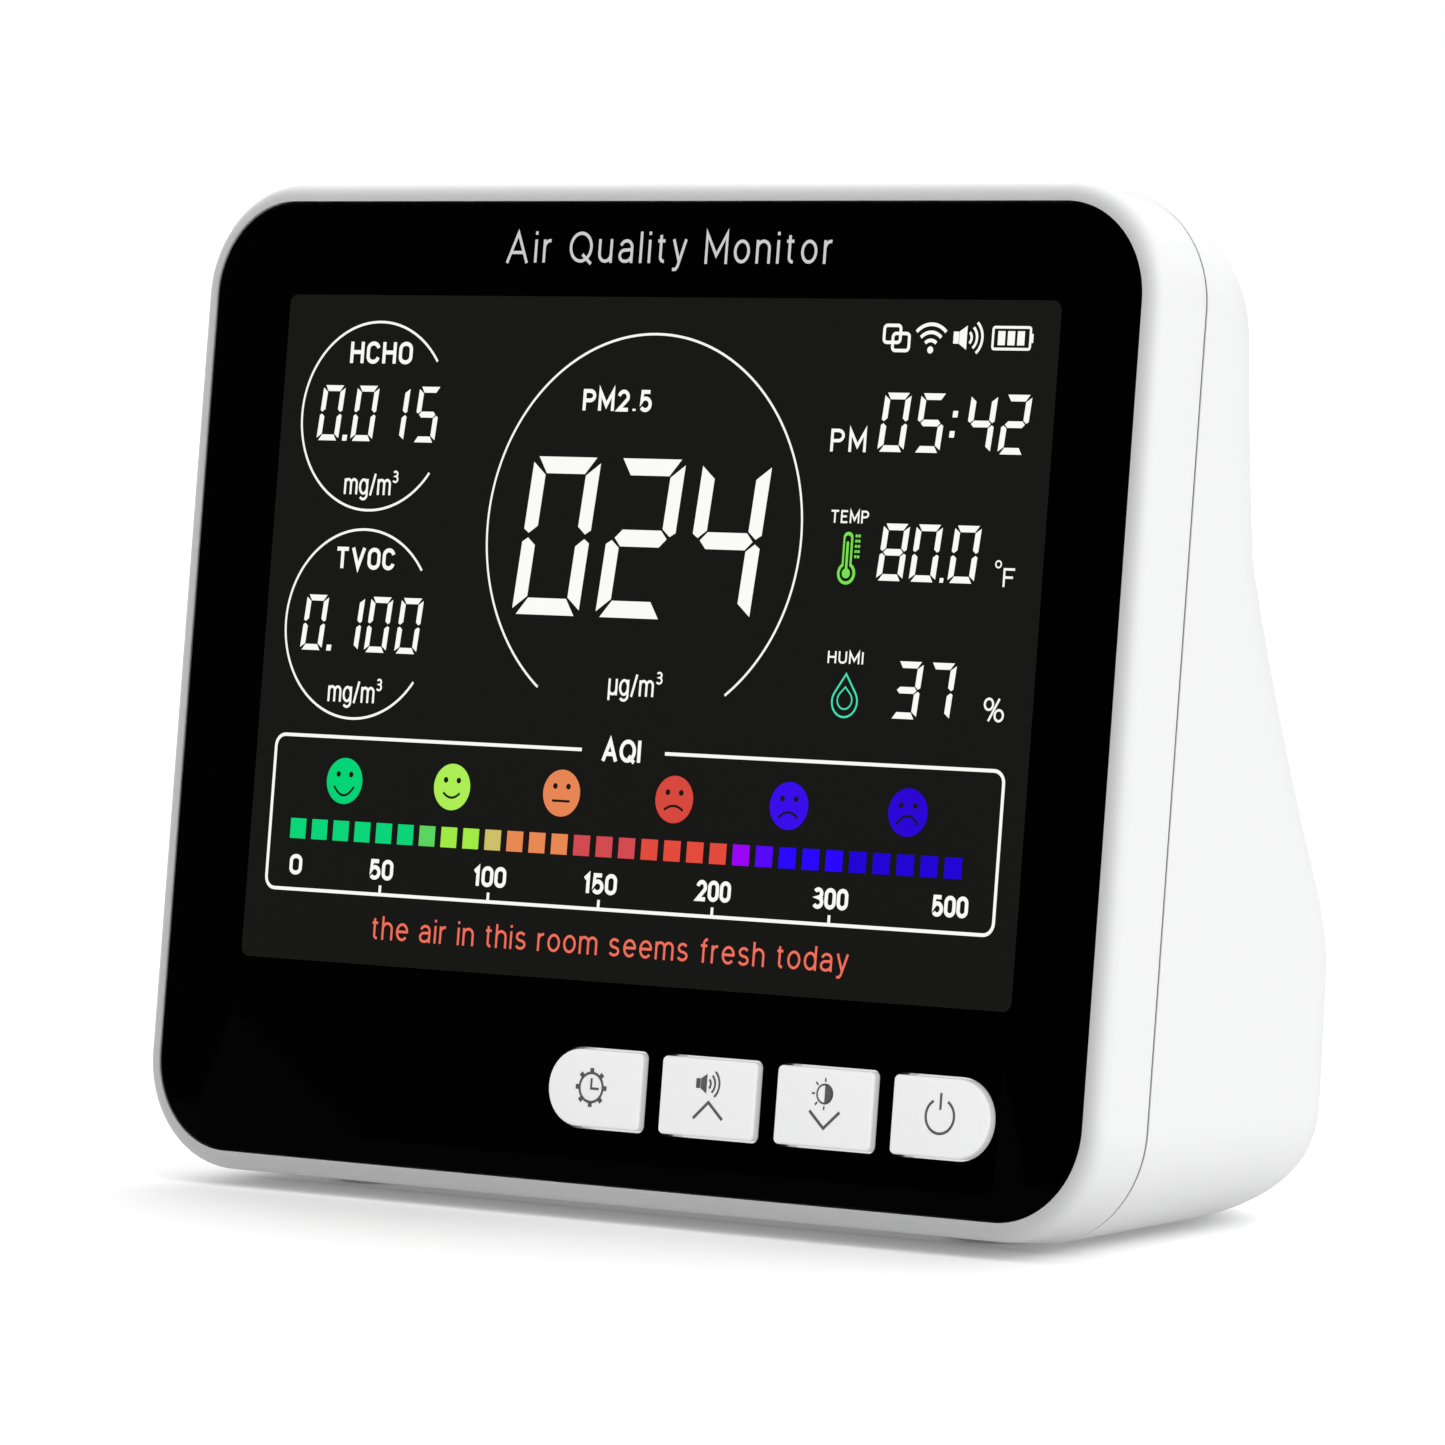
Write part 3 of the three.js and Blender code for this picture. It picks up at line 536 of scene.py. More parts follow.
def through_skin(shape, net, lip=0.3):
    """A cutter for a hole in the back whose outer edge is rounded, whatever way the skin slopes."""
    tree, reach = net[0], 6  # the cutter's length inside the skin

    def skin_at(x, z):
        hit = tree.ray_cast(Vector((x, 90, z)), Vector((0, -1, 0)))
        return hit[0].y

    # how far the outline is moved out, and how far below the skin it lies
    edge = [(lip + 0.08, -0.4), (lip, 0), (0.55 * lip, 0.15 * lip), (0.2 * lip, 0.5 * lip), (0, lip)]
    rings = [
        [(x, skin_at(x, z) - down, z) for x, z in shape(grow)]
        for grow, down in edge + [(0, reach)]
    ]
    return solid("cutter", rings)


def stadium(width, height, x, z, radius=None):
    """A slot with round ends, or with corners of a given radius, as a function of how far it is moved out."""

    def shape(grow):
        tall = height + 2 * grow
        corner = tall / 2 - 0.005 if radius is None else radius + grow
        return outline(width + 2 * grow, tall, corner, x, z, 8)

    return shape


def back_cutters(net):
    cutters = []
    for row in range(VENT["rows"]):
        z = VENT["lowest"] + row * VENT["pitch"]
        for x in VENT["columns"]:
            cutters.append(through_skin(stadium(VENT["length"], VENT["slot"], x, z), net))
    for row in range(INLET["rows"]):
        z = DUCT["z"] + (row - (INLET["rows"] - 1) / 2) * INLET["pitch"]
        cutters.append(through_skin(stadium(DUCT["width"] - 3, INLET["slot"], DUCT["x"], z), net))
    places = [(0, 0)]
    for ring in (1, 2):
        places += arc(ring * 3.5, 0, 0, 0, 2 * math.pi, 6 * ring)[:-1]
    for dx, dz in places:
        x, z = SPEAKER["x"] + dx, SPEAKER["z"] + dz
        cutters.append(through_skin(lambda grow, x=x, z=z: circle(0.95 + grow, x, z, 24), net, 0.25))
    port = stadium(USB["width"] + 2 * GAP, USB["height"] + 2 * GAP, USB["x"], USB["z"], 1.5)
    cutters.append(through_skin(port, net, 0.35))
    return cutters


def stand(piece, x, y, z=0.0):
    """Turns a piece that was drawn level into the lens's axes."""
    piece.data.transform(Matrix.Rotation(LEAN, 4, "X") @ Matrix.Translation((x, y, z)))
    return piece


def upright(radius, x, y, low, high, lip=0.0):
    """A level cylinder, in the lens's axes, that widens at its low end by lip."""
    profile = [(radius, low)]
    if lip:
        profile = [(radius + 2 * lip, low), (radius + lip, BASE_Z), (radius, BASE_Z + lip)]
    return stand(turned("cutter", profile + [(radius, high)], 48), x, y)


FOOT_PLACES = [(s * FOOT["x"], y) for y in (FOOT["front"], FOOT["rear"]) for s in (-1, 1)]
SCREW_PLACES = [(s * CASE_SCREW["x"], CASE_SCREW["y"]) for s in (-1, 1)]


def rear_shell():
    # the skin starts in front of the parting plane, so that its smooth normals there are the side's own
    skin = back_solid("skin", 0, -5)
    net = triangle_net(skin)
    bpy.data.objects.remove(skin)
    shell = combine(back_solid("uncut", 0, 0), back_solid("inside", WALL, -1), "DIFFERENCE")
    ribs = [
        plate(
            "rib",
            outline(HOOK["width"] + 3, HOOK["rib"], 0.1, x, HOOK["top"] + GAP + HOOK["rib"] / 2, 2),
            HOOK["rib_front"],
            HOOK["end"] - HOOK["nib_deep"] - GAP,
        )
        for x in HOOK["places"]
    ]
    shell = combine(shell, joined("ribs", ribs), "UNION")
    round_parting_edge(shell)
    openings, screw_holes = back_cutters(net), []
    for x, y in FOOT_PLACES:
        openings.append(upright(FOOT["radius"] + GAP, x, y, BASE_Z - 2, BASE_Z + FOOT["recess"] + 0.2, 0.15))
    for x, y in SCREW_PLACES:
        sunk = BASE_Z + CASE_SCREW["sunk"]
        openings.append(upright(CASE_SCREW["head"] + GAP, x, y, BASE_Z - 2, sunk, 0.15))
        screw_holes.append(upright(CASE_SCREW["shank"] + GAP, x, y, sunk - 0.1, BASE_Z + WALL + 1))
    shell = combine(shell, joined("openings", openings), "DIFFERENCE")
    shell = combine(shell, joined("screw_holes", screw_holes), "DIFFERENCE")
    shell.name = "rear_shell_skin"
    shade(shell, 32)
    borrow_normals(shell, net)
    return shell


def round_parting_edge(shell):
    """Takes the sharp corner off the shell's outer edge where it meets the front frame."""
    bm = bmesh.new()
    bm.from_mesh(shell.data)
    bmesh.ops.dissolve_limit(bm, angle_limit=math.radians(0.5), verts=bm.verts, edges=bm.edges)
    rim = []
    for e in bm.edges:
        if len(e.link_faces) != 2 or any(abs(v.co.y - PARTING) > 1e-3 for v in e.verts):
            continue
        flat = [f for f in e.link_faces if abs(f.normal.y) > 0.99]
        side = [f for f in e.link_faces if abs(f.normal.y) < 0.5]
        if len(flat) == 1 and len(side) == 1:
            middle = (e.verts[0].co + e.verts[1].co) / 2
            axis = Vector((0, middle.y, BACK["floor"] + BACK["height"] / 2))
            if side[0].normal.dot(middle - axis) > 0:
                rim.append(e)
    bmesh.ops.bevel(bm, geom=rim, offset=LIP, segments=3, affect="EDGES", profile=0.5)
    bm.to_mesh(shell.data)
    bm.free()


# ---- front frame ----
def lens_outline(grow, steps=24):
    size = (LENS["width"] + 2 * grow, LENS["height"] + 2 * grow)
    return outline(*size, LENS["corner"] + grow, 0, LENS["height"] / 2, steps)


def lens_loop(offset, depth):
    return at_depth(lens_outline(offset), depth)


def frame_profile():
    """Offset from the lens's outline and depth, round the frame's section."""
    nose = [i / 14 * math.pi / 2 for i in range(15)]
    profile = [
        (RIM["gap"] + (RIM["side"] - RIM["gap"]) * math.sin(a), RIM["nose"] * (1 - math.cos(a)))
        for a in nose
    ]
    end = PARTING - GAP
    side = RIM["side"] - LIP
    outer, inner, tongue_end = -0.9, -2, 11
    profile += [(side + LIP * math.cos(a), end - LIP + LIP * math.sin(a)) for a in (0, 0.5, 1.0, math.pi / 2)]
    profile += [(outer, end), (outer, tongue_end), (inner, tongue_end)]
    return profile + [(inner, SEAT["front"]), (RIM["gap"], SEAT["front"])]


def parting_gap_shade():
    """A dark grey ring sunk in the gap between the front frame and the rear shell: painted shade, a dark
    sheet that stands in for the shadow inside the gap.
    """
    sunk, deep = 0.13, 2.5
    outer, inner = RIM["side"] - sunk, RIM["side"] - deep
    front, back = PARTING - GAP + 0.01, PARTING - 0.01
    loops = ((outer, front), (outer, back), (inner, back), (inner, front))
    ring = solid("parting_gap_shade", [lens_loop(offset, depth) for offset, depth in loops], tube=True)
    shade(ring, 32)
    return ring


def button_shape(button, extra=0.0):
    """The button's outline as a function of how far it is moved out."""

    def shape(grow):
        grow += extra
        full = BUTTON["height"] / 2 + grow - 0.02
        small = max(BUTTON["corner"] + grow, 0.12)
        left = full if button["round"] == "left" else small
        right = full if button["round"] == "right" else small
        size = (button["width"] + 2 * grow, BUTTON["height"] + 2 * grow)
        return outline(*size, [right, left, left, right], button["x"], BUTTON["z"], 10)

    return shape


def rectangle(half_x, half_y):
    return [(sx * half_x, sy * half_y) for sx, sy in ((1, 1), (-1, 1), (-1, -1), (1, -1))]


def hook(x, start):
    """An arm behind the seat, with a nib that holds the rear shell's rib."""
    top, thick, nib, end = HOOK["top"], HOOK["thick"], HOOK["nib"], HOOK["end"]
    arm = plate("arm", outline(HOOK["width"], thick, 0.1, x, top - thick / 2, 2), start, end)
    shape = outline(HOOK["width"] - 0.02, nib + 0.4, 0.1, x, top + nib / 2 - 0.2, 2)
    return combine(arm, plate("tip", shape, end - HOOK["nib_deep"], end - 0.01), "UNION")


def lug(x, y, low):
    """A level block for a case screw, on an arm behind the seat."""
    corners = rectangle(LUG["width"] / 2, LUG["deep"] / 2)
    block = solid("lug", [[(cx, cy, h) for cx, cy in corners] for h in (low, low + LUG["tall"])])
    shape = outline(LUG["width"] - 0.02, LUG["arm"], 0.1, x, LUG["arm_z"], 2)
    arm = plate("arm", shape, SEAT["front"] + 0.5, y - LUG["deep"] / 4)
    return combine(stand(block, x, y), arm, "UNION")


def front_frame():
    ring = solid("front_frame_skin", [lens_loop(*p) for p in frame_profile()], tube=True)
    seat_back = SEAT["front"] + SEAT["thick"]
    seat = plate("seat", lens_outline(-1, 12), SEAT["front"] + 0.001, seat_back)
    window = outline(DISPLAY["width"] + 1, DISPLAY["height"] + 1, 1, DISPLAY["x"], DISPLAY["z"])
    openings = [window] + [button_shape(b)(GAP + 0.05) for b in BUTTONS]
    holes = [plate("hole", opening, SEAT["front"] - 1, seat_back + 2) for opening in openings]
    frame_piece = combine(ring, combine(seat, joined("holes", holes), "DIFFERENCE"), "UNION")
    low = BASE_Z + WALL + GAP
    extras = [hook(x, seat_back - 0.5) for x in HOOK["places"]]
    extras += [lug(x, y, low) for x, y in SCREW_PLACES]
    for extra in extras:
        frame_piece = combine(frame_piece, extra, "UNION")
    bore, pilot_end = CASE_SCREW["shank"] + GAP, low + LUG["tall"] + 1
    pilots = [upright(bore, x, y, BASE_Z, pilot_end) for x, y in SCREW_PLACES]
    frame_piece = combine(frame_piece, joined("pilots", pilots), "DIFFERENCE")
    shade(frame_piece, 32)
    return frame_piece


# ---- lens and buttons ----
def lens():
    front, back = LENS["front"], LENS["front"] + LENS["thick"]
    sheet = soft_plate("front_lens_sheet", lens_outline, front, back, 0.25)
    cutters = []
    for button in BUTTONS:
        hole = button_shape(button, 0.2)
        edge = ((0.25, front - 0.15), (0.1, front), (0, front + 0.1), (0, back + 1))
        cutters.append(solid("hole", [at_depth(hole(grow), depth) for grow, depth in edge]))
    sheet = combine(sheet, joined("holes", cutters), "DIFFERENCE")
    shade(sheet, 25)
    return sheet


CAP_FRONT = LENS["front"] - BUTTON["proud"]


def button_cap(button):
    shape = button_shape(button)
    flange, back = BUTTON["flange"], BUTTON["back"]
    rings = [at_depth(shape(-inset), CAP_FRONT + down) for inset, down in rounding(0.32, 6)]
    for grow, depth in ((0, back - 0.8), (flange, back - 0.8), (flange, back)):
        rings.append(at_depth(shape(grow), depth))
    cap = solid(f"cap_{button['name']}", rings)
    shade(cap, 30)
    return cap


# ---- small parts that show at the back and underneath ----
def usb_pieces():
    """The inlet's steel shell, its tongue, and the contacts on both faces of the tongue."""
    x, z, wall, back = USB["x"], USB["z"], USB["wall"], USB["back"]

    def shape(grow):
        return outline(USB["width"] + 2 * grow, USB["height"] + 2 * grow, 1.4 + grow, x, z, 10)

    rings = [at_depth(shape(0), USB["front"] + 0.02)]
    rings += [at_depth(shape(-inset), back - down) for inset, down in ((0, 0.12), (0.04, 0.04), (0.12, 0))]
    opening = ((0, back - 5.5), (0, back - 0.1), (0.1, back + 0.1))
    mouth = [at_depth(shape(flare - wall), depth) for flare, depth in opening]
    shell = combine(solid("usb_shell", rings), solid("mouth", mouth), "DIFFERENCE")
    shade(shell, 40)
    tongue = plate("usb_tongue", outline(6.4, 0.7, 0.12, x, z, 4), back - 5.6, back - 0.6)
    strips = [outline(0.26, 0.74, 0.02, x + (i - 5.5) * 0.5, z, 2) for i in range(12)]
    contacts = joined("usb_contacts", [plate("contact", strip, back - 4.6, back - 0.95) for strip in strips])
    return shell, tongue, contacts


def case_screw(name, x, y):
    """A pan-head screw with a cross recess, head downwards."""
    head, shank, seat = CASE_SCREW["head"], CASE_SCREW["shank"], BASE_Z + CASE_SCREW["sunk"] - 0.2
    dome = ((0.6, -1), (0.82, -0.93), (0.95, -0.75), (1, -0.45), (1, 0))
    profile = [(share * head, height) for share, height in dome] + [(shank, 0)]
    step, turns = 0.36, 8
    for i in range(turns):
        profile += [(shank, 0.3 + i * step), (shank - 0.16, 0.3 + (i + 0.5) * step)]
    profile += [(0.7 * shank, 0.3 + turns * step), (0.1, CASE_SCREW["length"])]
    blank = turned(name, profile, 40)
    arms = [plate("arm", outline(*size, 0.05, 0, 0, 2), -0.6, 1) for size in ((2.5, 0.5), (0.5, 2.5))]
    cross = combine(*arms, "UNION")
    cross.data.transform(Matrix.Translation((0, 0, -1)) @ Matrix.Rotation(math.radians(-90), 4, "X"))
    screw = combine(blank, cross, "DIFFERENCE")
    shade(screw, 35)
    return stand(screw, x, y, seat)


def rubber_foot(name, x, y):
    """A round foot with a softened edge and a shallow dish in its sole."""
    radius, low = FOOT["radius"], BASE_Z + FOOT["recess"] - FOOT["thick"]
    sole = [(0.5, 0.16), (0.62, 0.12), (0.68, 0), (0.9, 0), (0.97, 0.08), (1, 0.3)]
    profile = [(radius * share, low + up) for share, up in sole] + [(radius, low + FOOT["thick"])]
    foot = turned(name, profile, 48)
    shade(foot, 35)
    return stand(foot, x, y)


# ---- flat marks ----
class Marks:
    """Flat shapes at one depth, gathered by what they are lit with, then widened and moved together."""

    def __init__(self, widen=1.0, shift=0.0, drop=0.0):
        self.verts, self.faces = [], []
        self.widen, self.shift, self.drop = widen, shift, drop

    def add(self, points, faces=None):
        first = len(self.verts)
        self.verts += [tuple(p) for p in points]
        for face in faces or [range(len(points))]:
            self.faces.append(tuple(first + i for i in face))

    def strip(self, points, width, closed=False):
        """A line of even width along points, with mitred corners."""
        points = [p for i, p in enumerate(points) if not i or math.dist(p, points[i - 1]) > 1e-4]
        if closed and math.dist(points[0], points[-1]) < 1e-4:
            points.pop()
        count = len(points)
        sides = []
        for i, (x, z) in enumerate(points):
            before = points[i - 1] if i or closed else None
            after = points[(i + 1) % count] if i < count - 1 or closed else None
            into = Vector((x - before[0], z - before[1])).normalized() if before else None
            out = Vector((after[0] - x, after[1] - z)).normalized() if after else None
            into, out = into or out, out or into
            normal = Vector((-(into.y + out.y), into.x + out.x)).normalized()
            reach = width / 2 / max(normal.dot(Vector((-into.y, into.x))), 0.3)
            sides += [(x + side * normal.x * reach, z + side * normal.y * reach) for side in (1, -1)]
        steps = count if closed else count - 1
        faces = []
        for i in range(steps):
            after = (i + 1) % count
            faces.append((2 * i, 2 * i + 1, 2 * after + 1, 2 * after))
        self.add(sides, faces)

    def disc(self, radius, x, z, sides=28):
        self.add(circle(radius, x, z, sides))

    def rays(self, x, z, degrees, inner, outer, width):
        """Short lines that point away from (x, z), one at each angle."""
        for a in map(math.radians, degrees):
            self.strip([(x + r * math.cos(a), z + r * math.sin(a)) for r in (inner, outer)], width)

    def box(self, x0, z0, x1, z1, slant=0.0):
        lean = (z1 - z0) * math.tan(slant)
        self.add([(x0, z0), (x1, z0), (x1 + lean, z1), (x0 + lean, z1)])

    def text(self, words, x0, x1, baseline, top, weight, spacing=0.24):
        """Lettering of even line weight, fitted between x0 and x1, with its capitals from baseline to top."""
        total = sum(LETTERS[c][0] for c in words) + spacing * (len(words) - 1)
        tall = top - baseline - weight
        wide = (x1 - x0 - weight) / total
        x = x0 + weight / 2
        for letter in words:
            width, strokes = LETTERS[letter]
            for stroke in strokes:
                points = [(x + px * wide, baseline + weight / 2 + pz * tall) for px, pz in stroke]
                closed = len(points) > 3 and stroke[0] == stroke[-1]
                self.strip(points[:-1] if closed else points, weight, closed)
            x += (width + spacing) * wide

    def build(self, name, depth, made, body="case", slot="display_glass"):
        placed = [(x * self.widen + self.shift, z - self.drop) for x, z in self.verts]
        obj = new_object(name, at_depth(placed, depth), self.faces)
        bm = bmesh.new()
        bm.from_mesh(obj.data)
        toward = Vector((0, -1, 0))
        wrong = [f for f in bm.faces if f.normal.dot(toward) < 0]
        bmesh.ops.reverse_faces(bm, faces=wrong)
        bm.to_mesh(obj.data)
        bm.free()
        return settle(obj, body, slot, made)


def bow(x, z, wide, tall, start, end):
    """Part of an ellipse, between two angles in degrees."""
    steps = max(4, round(abs(end - start) / 15))
    turn = [math.radians(start + (end - start) * i / steps) for i in range(steps + 1)]
    return [(x + wide * math.cos(a), z + tall * math.sin(a)) for a in turn]


def ring_of(x, z, wide, tall):
    """A closed ellipse, as the one stroke in a list."""
    points = bow(x, z, wide, tall, 0, 360)
    return [points[:-1] + points[:1]]


def oval(width, low, high, radius):
    """A closed upright oval with straight sides, as the one stroke in a list."""
    points = []
    for quarter in range(4):
        x = width - radius if quarter in (0, 3) else radius
        z = high - radius if quarter < 2 else low + radius
        points += bow(x, z, radius, radius, 90 * quarter, 90 * quarter + 90)
    return [points + points[:1]]


# Letters as lines in a box one capital high: width, then strokes. X is the height of a small letter.
X = 0.73
STEM = [(0, -0.06), (0, X + 0.04)]
TALL_STEM = [(0, -0.06), (0, 1.06)]
RIGHT_STEM = [(0.46, X + 0.06), (0.46, -0.06)]
BOWL = ring_of(0.25, X / 2, 0.25, X / 2)
LETTERS = {
    " ": (0.14, []),
    ".": (0.06, [[(0.03, -0.06), (0.03, 0.06)]]),
    "/": (0.3, [[(0, -0.1), (0.3, 1.05)]]),
    "%": (0.86, ring_of(0.19, 0.75, 0.19, 0.25) + ring_of(0.67, 0.25, 0.19, 0.25)
          + [[(0.2, -0.02), (0.66, 1.02)]]),
    "0": (0.56, oval(0.56, 0, 1, 0.28)),
    "1": (0.3, [[(0.02, 0.76), (0.24, 0.97), (0.24, -0.08)]]),
    "2": (0.56, [bow(0.28, 0.7, 0.27, 0.3, 170, -25) + [(0.02, 0), (0.58, 0)]]),
    "3": (0.54, [bow(0.26, 0.77, 0.24, 0.23, 150, -90) + bow(0.26, 0.27, 0.28, 0.27, 90, -150)[1:]]),
    "5": (0.56, [[(0.52, 1), (0.08, 1), (0.05, 0.5)] + bow(0.27, 0.32, 0.29, 0.32, 125, -145)]),
    "A": (0.8, [[(0, -0.08), (0.4, 1), (0.8, -0.08)], [(0.14, 0.3), (0.66, 0.3)]]),
    "C": (0.6, [bow(0.3, 0.7, 0.3, 0.3, 10, 180) + bow(0.3, 0.3, 0.3, 0.3, 180, 350)]),
    "E": (0.54, [[(0.58, 1), (0, 1), (0, 0), (0.58, 0)], [(0, 0.52), (0.5, 0.52)]]),
    "F": (0.5, [[(0.54, 1), (0, 1), (0, -0.08)], [(0, 0.5), (0.46, 0.5)]]),
    "H": (0.62, [[(0, -0.08), (0, 1.08)], [(0.62, -0.08), (0.62, 1.08)], [(0, 0.52), (0.62, 0.52)]]),
    "I": (0.0, [[(0, -0.08), (0, 1.08)]]),
    "M": (0.78, [[(0, -0.08), (0, 1), (0.39, 0.22), (0.78, 1), (0.78, -0.08)]]),
    "O": (0.62, oval(0.62, 0, 1, 0.3)),
    "P": (0.58, [[(0, -0.08), (0, 1), (0.32, 1)] + bow(0.32, 0.74, 0.27, 0.26, 90, -90) + [(0, 0.48)]]),
    "Q": (0.82, ring_of(0.41, 0.5, 0.41, 0.5) + [[(0.48, 0.24), (0.84, -0.1)]]),
    "T": (0.66, [[(-0.04, 1), (0.7, 1)], [(0.33, 1), (0.33, -0.08)]]),
    "U": (0.6, [[(0, 1.08), (0, 0.3)] + bow(0.3, 0.3, 0.3, 0.3, 180, 360) + [(0.6, 1.08)]]),
    "V": (0.72, [[(0, 1.08), (0.36, 0), (0.72, 1.08)]]),
    "a": (0.5, [bow(0.26, 0.5, 0.22, 0.23, 165, 0) + [(0.48, -0.06)],
                [(0.48, 0.42), (0.28, 0.4)] + bow(0.21, 0.2, 0.2, 0.2, 95, 275)
                + bow(0.24, 0.24, 0.24, 0.24, 280, 350)]),
    "d": (0.5, BOWL + [[(0.5, -0.06), (0.5, 1.06)]]),
    "e": (0.52, [[(0.02, 0.38), (0.52, 0.38)] + bow(0.27, X / 2, 0.26, X / 2, 5, 320)]),
    "f": (0.28, [[(0.12, -0.06), (0.12, 0.8)] + bow(0.28, 0.82, 0.16, 0.2, 180, 85),
                 [(-0.02, X), (0.28, X)]]),
    "g": (0.5, BOWL + [[(0.5, X + 0.04), (0.5, -0.08)] + bow(0.26, -0.08, 0.24, 0.22, 0, -150)]),
    "h": (0.46, [TALL_STEM, bow(0.23, 0.46, 0.23, 0.27, 175, 0) + [(0.46, -0.06)]]),
    "i": (0.0, [STEM, [(0, 0.94), (0, 1.06)]]),
    "l": (0.0, [TALL_STEM]),
    "m": (0.8, [STEM] + [bow(x, 0.5, 0.2, 0.23, 175, 0) + [(x + 0.2, -0.06)] for x in (0.2, 0.6)]),
    "n": (0.46, [STEM, bow(0.23, 0.47, 0.23, 0.26, 175, 0) + [(0.46, -0.06)]]),
    "o": (0.52, ring_of(0.26, X / 2, 0.26, X / 2)),
    "r": (0.24, [STEM, bow(0.22, 0.46, 0.22, 0.27, 175, 80)]),
    "s": (0.44, [bow(0.22, 0.55, 0.19, 0.18, 25, 250) + bow(0.22, 0.18, 0.21, 0.18, 75, -160)]),
    "t": (0.26, [[(0.1, 0.94), (0.1, 0.16)] + bow(0.24, 0.16, 0.14, 0.16, 180, 275),
                 [(-0.02, X), (0.26, X)]]),
    "u": (0.46, [[(0, X + 0.06), (0, 0.26)] + bow(0.23, 0.26, 0.23, 0.26, 185, 355), RIGHT_STEM]),
    "y": (0.48, [[(0, X + 0.06), (0.24, 0.02)],
                 [(0.48, X + 0.06), (0.2, -0.18), (0.12, -0.28), (0.0, -0.28)]]),
    "µ": (0.46, [[(0, X + 0.06), (0, -0.32)], bow(0.23, 0.24, 0.23, 0.24, 185, 355), RIGHT_STEM]),
}

# which segments light for each figure: a to f clockwise from the top, and g across the middle
SEGMENTS = {
    "0": "abcdef", "1": "bc", "2": "abged", "3": "abgcd",
    "4": "fgbc", "5": "afgcd", "7": "abc", "8": "abcdefg",
}


SLANT = math.radians(5.6)  # lean of the seven-segment figures


def digits(marks, figures, places, z, width, height, stroke, gap=0.07, clip=0.3):
    """Seven-segment figures, each with its lower left corner at one of the places, z up."""
    middle, half = height / 2, stroke / 2
    cut = gap + clip * stroke  # how far the outer corners are clipped
    inner = width - stroke
    top = [(cut, height), (width - cut, height)]
    top += [(inner - gap, height - stroke), (stroke + gap, height - stroke)]
    right = [
        (width, height - cut),
        (inner, height - stroke - gap),
        (inner, middle + half + gap),
        (inner + 0.6 * stroke, middle + gap + 0.05 * stroke),
        (width, middle + gap + 0.3 * stroke),
    ]
    bar = [(half + gap, middle), (stroke + gap, middle + half), (inner - gap, middle + half)]
    shapes = {
        "a": top,
        "d": [(px, height - pz) for px, pz in top],
        "b": right,
        "c": [(px, height - pz) for px, pz in right],
        "f": [(width - px, pz) for px, pz in right],
        "e": [(width - px, height - pz) for px, pz in right],
        "g": bar + [(width - px, height - pz) for px, pz in bar],
    }
    tilt = math.tan(SLANT)
    for figure, x in zip(figures, places):
        for segment in SEGMENTS[figure]:
            marks.add([(x + px + pz * tilt, z + pz) for px, pz in shapes[segment]])


def face_icon(disc_marks, line_marks, x, z, mood):
    """A round face with two eyes. mood is the mouth's height at its ends, its bend and its half width."""
    disc_marks.disc(2.4, x, z, 40)
    for side in (-1, 1):
        line_marks.disc(0.3, x + side * 0.85, z + 0.7, 16)
    ends, bend, half = mood
    along = [i / 6 - 1 for i in range(13)]
    line_marks.strip([(x + half * t, z + ends + bend * (1 - t**2)) for t in along], 0.25)


def speaker_icon(marks, x, z, size, waves, width):
    """A loudspeaker with sound waves; size is its height, and x its left edge."""
    magnet = ((0, -0.25), (0.28, -0.25), (0.28, 0.25), (0, 0.25))
    cone = ((0.3, -0.26), (0.68, -0.5), (0.68, 0.5), (0.3, 0.26))
    for part in (magnet, cone):
        marks.add([(x + px * size, z + pz * size) for px, pz in part])
    for i in range(waves):
        marks.strip(arc((0.3 + 0.27 * i) * size, x + 0.62 * size, z, -0.85, 0.85, 12), width)


def drawing():
    """Marks on the display, set down on its window."""
    return Marks(widen=0.9975, drop=0.52)


def gas_readings(white):
    """The three gas and particle readings, each in an open circle."""
    gap = math.radians(36)
    for x, z, radius in ((-36.33, 77.94, 9.85), (-36.39, 56.2, 9.87)):
        white.strip(arc(radius, x, z, gap, 2 * math.pi - gap, 90), 0.26)
    white.strip(arc(20.16, 0.07, 66.69, math.radians(-53.4), math.radians(233.4), 150), 0.25)

    white.text("HCHO", -40.2, -31.8, 83.4, 85.75, 0.42, 0.34)
    white.text("TVOC", -40.1, -32.1, 61.9, 64.2, 0.42, 0.34)
    white.text("PM2.5", -8.8, 0.1, 78.9, 81.15, 0.4, 0.36)
    small = dict(width=2.95, height=5.8, stroke=0.62)
    digits(white, "0015", (-44.0, -39.4, -35.2, -31.0), 75.3, **small)
    digits(white, "0100", (-44.1, -39.2, -35.4, -31.3), 53.3, **small)
    for z in (75.3, 53.3):
        white.box(-40.5, z, -39.88, z + 0.62, SLANT)
    for x0, x1, base in ((-39.7, -33.4, 69.7), (-39.8, -33.5, 48.0)):
        white.text("mg/m", x0, x1, base, base + 2.25, 0.27)
        white.text("3", x1 + 0.15, x1 + 0.95, base + 1.3, base + 2.6, 0.2)
    digits(white, "024", (-16.1, -5.2, 5.7), 57.9, 8.7, 16.25, 1.72, 0.15, 0.25)
    white.text("µg/m", -2.8, 3.05, 50.0, 52.25, 0.27)
    white.text("3", 3.25, 4.1, 51.3, 52.6, 0.2)


